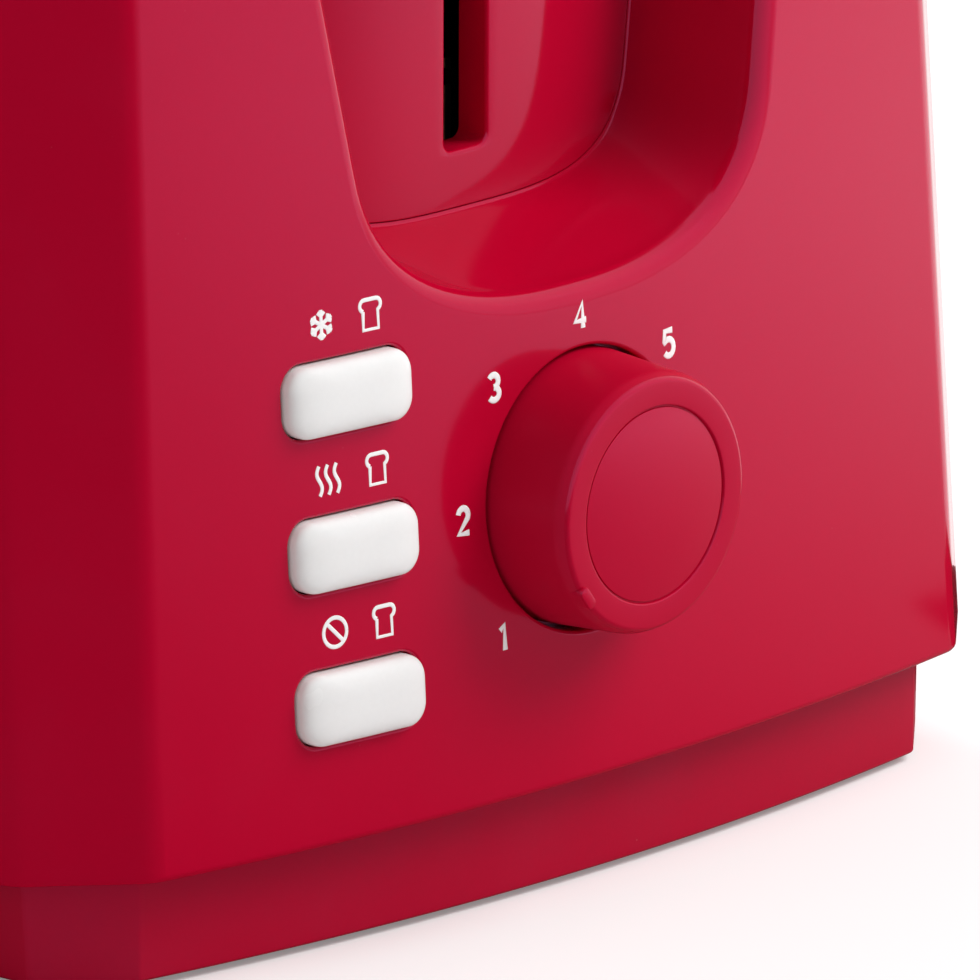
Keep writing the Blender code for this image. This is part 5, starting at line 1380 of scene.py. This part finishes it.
tray_floor = tray_low.z + tray_wall
tray = loft("folded_crumb_tray", [
    *[tray_ring(inset, tray_low.z + rise) for inset, rise in quarter_round(tray_bend, 4)],
    tray_ring(0, tray_high.z - tray_edge), tray_ring(tray_edge, tray_high.z)])
combine(tray, "DIFFERENCE", loft("tray_hollow", [
    tray_ring(tray_wall + tray_inner_bend, tray_floor), tray_ring(tray_wall, tray_floor + tray_inner_bend),
    tray_ring(tray_wall, tray_high.z + overrun)]))

# A pattern repeated in a row by a fixed step
in_a_row, row_in, row_out = node_group("in_a_row", [
    ("Geometry", "NodeSocketGeometry", None), ("Count", "NodeSocketInt", 2),
    ("Step", "NodeSocketVector", (1.0, 0.0, 0.0)), ("Material", "NodeSocketMaterial", None),
], [("Geometry", "NodeSocketGeometry")], "GeometryNodeTree")
row_spots = place_node(in_a_row, "GeometryNodeMeshLine", {
    "Count": row_in.outputs["Count"], "Offset": row_in.outputs["Step"]}, mode="OFFSET")
row_copies = place_node(in_a_row, "GeometryNodeInstanceOnPoints", {
    "Points": row_spots.outputs["Mesh"], "Instance": row_in.outputs["Geometry"]})
end_with(in_a_row, row_copies.outputs["Instances"], row_in, row_out)

tray_metal = finish_with("coated_tray_sheet", rolled, (0.62, 0.62, 0.61), 0.000008, metal,
                         Stretch=(0.06, 1, 1), Roughness=0.3, Spangle=0.08, Tarnish=0.18)
tray_ribs = 9
rib_half = 0.0016
rib_height = 0.0010
rib_reach = tray_high.x - 0.0100
rib_first = tray_low.y + 0.0200
rib_step = (tray_back - tray_low.y - 0.0400) / (tray_ribs - 1)
rib_end = 0.001
rib_sunk = 0.0003
rib_turns = [math.pi * step / 8 for step in range(9)]
rib_rings = []
for x, share in ((-rib_reach, 0.4), (-rib_reach + rib_end, 1.0),
                 (rib_reach - rib_end, 1.0), (rib_reach, 0.4)):
    rib_rings.append([(x, rib_first + rib_half * math.cos(turn) * share,
                       tray_floor - rib_sunk + rib_height * math.sin(turn) * share) for turn in rib_turns])
rib = loft("tray_ribs", rib_rings)
grow(rib, in_a_row, {"Count": tray_ribs, "Step": (0, rib_step, 0), "Material": tray_metal})
pull_width, pull_thickness, pull_corner, pull_z = 0.0400, 0.0024, 0.0011, 0.0065
pull_rings = []
for inset, y in ((0, tray_back - 0.0006), (0, tray_high.y - 0.0010),
                 (0.0003, tray_high.y - 0.0003), (0.0008, tray_high.y)):
    outline = rounded_rectangle(pull_width - 2 * inset, pull_thickness - 2 * inset, pull_corner - inset, 6)
    pull_rings.append([(px, y, pull_z + pz) for px, pz in outline])
combine(tray, "UNION", rib, loft("tray_pull", pull_rings))
smooth(tray, 40)
tray.data.materials.append(tray_metal)
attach(tray, "tray")
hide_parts("crumb_tray")


# Feet and gland. Four turned rubber feet pressed into the base's sockets, and
# the rubber gland that lines the hole where the mains lead would leave.

set_out, set_in, set_end = node_group("set_out", [
    ("Geometry", "NodeSocketGeometry", None), ("Pattern", "NodeSocketObject", None),
    ("Material", "NodeSocketMaterial", None),
], [("Geometry", "NodeSocketGeometry")], "GeometryNodeTree")
set_pattern = place_node(set_out, "GeometryNodeObjectInfo", {"Object": set_in.outputs["Pattern"]})
set_copies = place_node(set_out, "GeometryNodeInstanceOnPoints", {
    "Points": set_in.outputs["Geometry"], "Instance": set_pattern.outputs["Geometry"]})
end_with(set_out, set_copies.outputs["Instances"], set_in, set_end)


def lay_out(name, pattern, places, paint):
    """One piece made of a pattern set out at several places."""
    piece = path_object(name, [[place] for place in places])
    grow(piece, set_out, {"Pattern": pattern, "Material": paint})
    bpy.data.objects.remove(pattern)
    return piece


rubber = finish_with("black_rubber", moulded, (0.018, 0.018, 0.018), 0.00003, {"IOR": 1.45},
                     Drift=0.25, Roughness=0.68, Marks=0.2, Dust=2.5)
foot_nodes = [f"foot_{spot}" for spot in foot_spots]
foot_low, foot_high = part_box(foot_nodes[0])
foot_height = foot_high.z - foot_low.z
foot_radius = (foot_high.x - foot_low.x) / 2
foot_groove = 0.0004
foot_pattern = smooth(spun("foot_pattern", [
    (0, foot_groove), (0.0020, foot_groove), (0.0024, 0), (0.0042, 0),
    (0.0046, foot_groove), (0.0054, foot_groove), (0.0058, 0),
    (foot_radius - 0.0006, 0), (foot_radius - 0.0002, 0.0002), (foot_radius, 0.0006),
    (foot_radius, foot_height), (0, foot_height)], (0, 0, 0), (0, 0, 1), 48))
feet = lay_out("rubber_feet", foot_pattern, [(x, y, foot_low.z) for x, y in foot_spots.values()], rubber)
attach(feet, "body")
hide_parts(*foot_nodes)

gland_low, gland_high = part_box("cord_gland")
gland_length = gland_high.y - gland_low.y
gland_flange = (gland_high.x - gland_low.x) / 2
gland_sleeve = 0.0042
gland_bore = 0.0032
flange_start = gland_length - 0.0012
gland_middle = (gland_low.z + gland_high.z) / 2
gland = spun("cord_gland_sleeve", [
    (0, 0), (gland_sleeve - 0.0003, 0), (gland_sleeve, 0.0003), (gland_sleeve, flange_start),
    (gland_flange - 0.0002, flange_start), (gland_flange, flange_start + 0.0003),
    (gland_flange, gland_length - 0.0005), (gland_flange - 0.0005, gland_length), (0, gland_length)],
    (gland_x, gland_low.y, gland_middle), (0, 1, 0), 48)
combine(gland, "DIFFERENCE", rod("bore", (gland_x, gland_low.y - overrun, gland_middle),
                                 (gland_x, gland_high.y + overrun, gland_middle), gland_bore))
smooth(gland)
gland.data.materials.append(rubber)
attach(gland, "body")
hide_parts("cord_gland")


# Screws. Cross-recessed thread-forming screws: four up through the base, two
# in the lever panel and two small ones in the control board.

thread_pitch = 0.0010
thread_root = 0.78


def screw_pattern(head_radius, head_height, shank_radius, length, towards):
    """A screw whose head sits on the origin and faces the given way."""
    root_radius = thread_root * shank_radius
    profile = [(0, -length), (0.4 * shank_radius, -length)]
    for thread in range(int(length / thread_pitch)):
        start = thread_pitch * thread - length
        profile += [(root_radius, start + 0.4 * thread_pitch), (shank_radius, start + 0.9 * thread_pitch)]
    profile += [(root_radius, 0), (head_radius - 0.0002, 0), (head_radius, 0.0002),
                (head_radius, 0.5 * head_height), (0.85 * head_radius, 0.82 * head_height),
                (0.5 * head_radius, 0.97 * head_height), (0, head_height)]
    screw = spun("screw_pattern", profile, (0, 0, 0), (0, 0, 1), 24)
    long, short = 0.60 * head_radius, 0.13 * head_radius
    for x, y in ((long, short), (short, long)):
        cross_arm = block("cross_arm", (-x, -y, 0.4 * head_height), (x, y, head_height + overrun))
        combine(screw, "DIFFERENCE", cross_arm)
    screw.data.transform(Vector(towards).to_track_quat("Z", "Y").to_matrix().to_4x4())
    return smooth(screw, 35)


def screw_set(name, nodes, head, shank_radius, towards):
    """Screws in the places of their CAD nodes; head is its radius and height."""
    radius, height = head
    along = Vector(towards)
    places = []
    for node in nodes:
        low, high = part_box(node)
        reach = abs((high - low).dot(along)) / 2
        places.append((low + high) / 2 + along * (reach - height))
    length = 2 * reach - height
    piece = lay_out(name, screw_pattern(radius, height, shank_radius, length, towards), places, plated)
    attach(piece, "body")
    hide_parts(*nodes)


base_head, base_shank = (0.0030, 0.0018), 0.0016
small_head, small_shank = (0.0024, 0.0014), 0.0012
screw_set("base_screws", [f"base_screw_{spot}" for spot in foot_spots], base_head, base_shank, (0, 0, -1))
screw_set("panel_screws", ["panel_screw_left", "panel_screw_right"], small_head, small_shank, (0, 1, 0))
screw_set("board_screws", ["board_screw_1", "board_screw_2"], small_head, small_shank, (0, 1, 0))


# Electrics. A control board with a turning resistor and three switches, the
# catch's electromagnet with its copper winding, and two blocks of pale nylon.

circuit, c_in, c_out = node_group("circuit_board", [
    ("Color", "NodeSocketColor", (0.01, 0.10, 0.03, 1)),
    ("Trace", "NodeSocketColor", (0.03, 0.20, 0.06, 1)),
    ("Roughness", "NodeSocketFloat", 0.35),
], finish_outputs)
c_place = place_node(circuit, "ShaderNodeTexCoord").outputs["Object"]
c_parts = place_node(circuit, "ShaderNodeSeparateXYZ", {0: c_place}).outputs
c_flat = place_node(circuit, "ShaderNodeCombineXYZ", {"X": c_parts["X"], "Y": c_parts["Z"]}).outputs[0]
c_tracks = place_node(circuit, "ShaderNodeTexBrick", {
    "Vector": c_flat, "Scale": 1.0, "Mortar Size": 0.0004, "Mortar Smooth": 0.1,
    "Brick Width": 0.011, "Row Height": 0.0035}, offset=0.37).outputs["Fac"]
c_pad = remap(circuit, cells(circuit, c_flat, 0.005)["Distance"], 1.0, 0.0, 0.14, 0.18)
c_green = blended(circuit, c_tracks, c_in.outputs["Color"], c_in.outputs["Trace"])
put_out(circuit, c_out, Color=blended(circuit, c_pad, c_green, (0.5, 0.5, 0.48, 1)),
        Roughness=worked_out(circuit, "MULTIPLY_ADD", c_pad, -0.1, c_in.outputs["Roughness"]),
        Height=worked_out(circuit, "MAXIMUM", c_pad, c_tracks))
board_paint = finish_with("green_circuit_board", circuit, (0.01, 0.10, 0.03), 0.00005, {"IOR": 1.5})
black_plastic = finish_with("black_plastic", moulded, (0.02, 0.02, 0.02), 0.000008, {"IOR": 1.5},
                            Drift=0.1, Roughness=0.38, Marks=0.1, Dust=0.6)
nylon = finish_with("pale_nylon", moulded, (0.66, 0.62, 0.50), 0.000008, {"IOR": 1.53},
                    Drift=0.06, Roughness=0.45, Marks=0.1, Dust=0.2)
copper = finish_with("enamelled_copper", rolled, (0.62, 0.25, 0.10), 0.000003, metal,
                     Stretch=(1, 1, 1), Roughness=0.25, Spangle=0.0, Tarnish=0.25)
give(board_paint, "control_board")
give(black_plastic, "potentiometer", "defrost_switch", "reheat_switch", "cancel_switch")
give(nylon, "pot_shaft", "contact_block", "terminal_block")
give(plated, "electromagnet")

magnet_turns = 15
copper_wire = 0.0004
winding_bottom = 0.0020
winding_inset = 0.0008
low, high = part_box("electromagnet")
coil_low = low.z + winding_bottom
coil_high = coil_low + 2 * copper_wire * magnet_turns
coil_radius = (high.y - low.y) / 2 - winding_inset
coil = helix((low + high) / 2, coil_radius, coil_low, coil_high, magnet_turns, 24)
magnet_winding = path_object("magnet_winding", [coil])
grow(magnet_winding, drawn_line, {"Radius": copper_wire, "Sides": 6, "Material": copper})
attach(magnet_winding, "body")


# The box round everything that is shown, the floor and the felt sheets left out.

low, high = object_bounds()
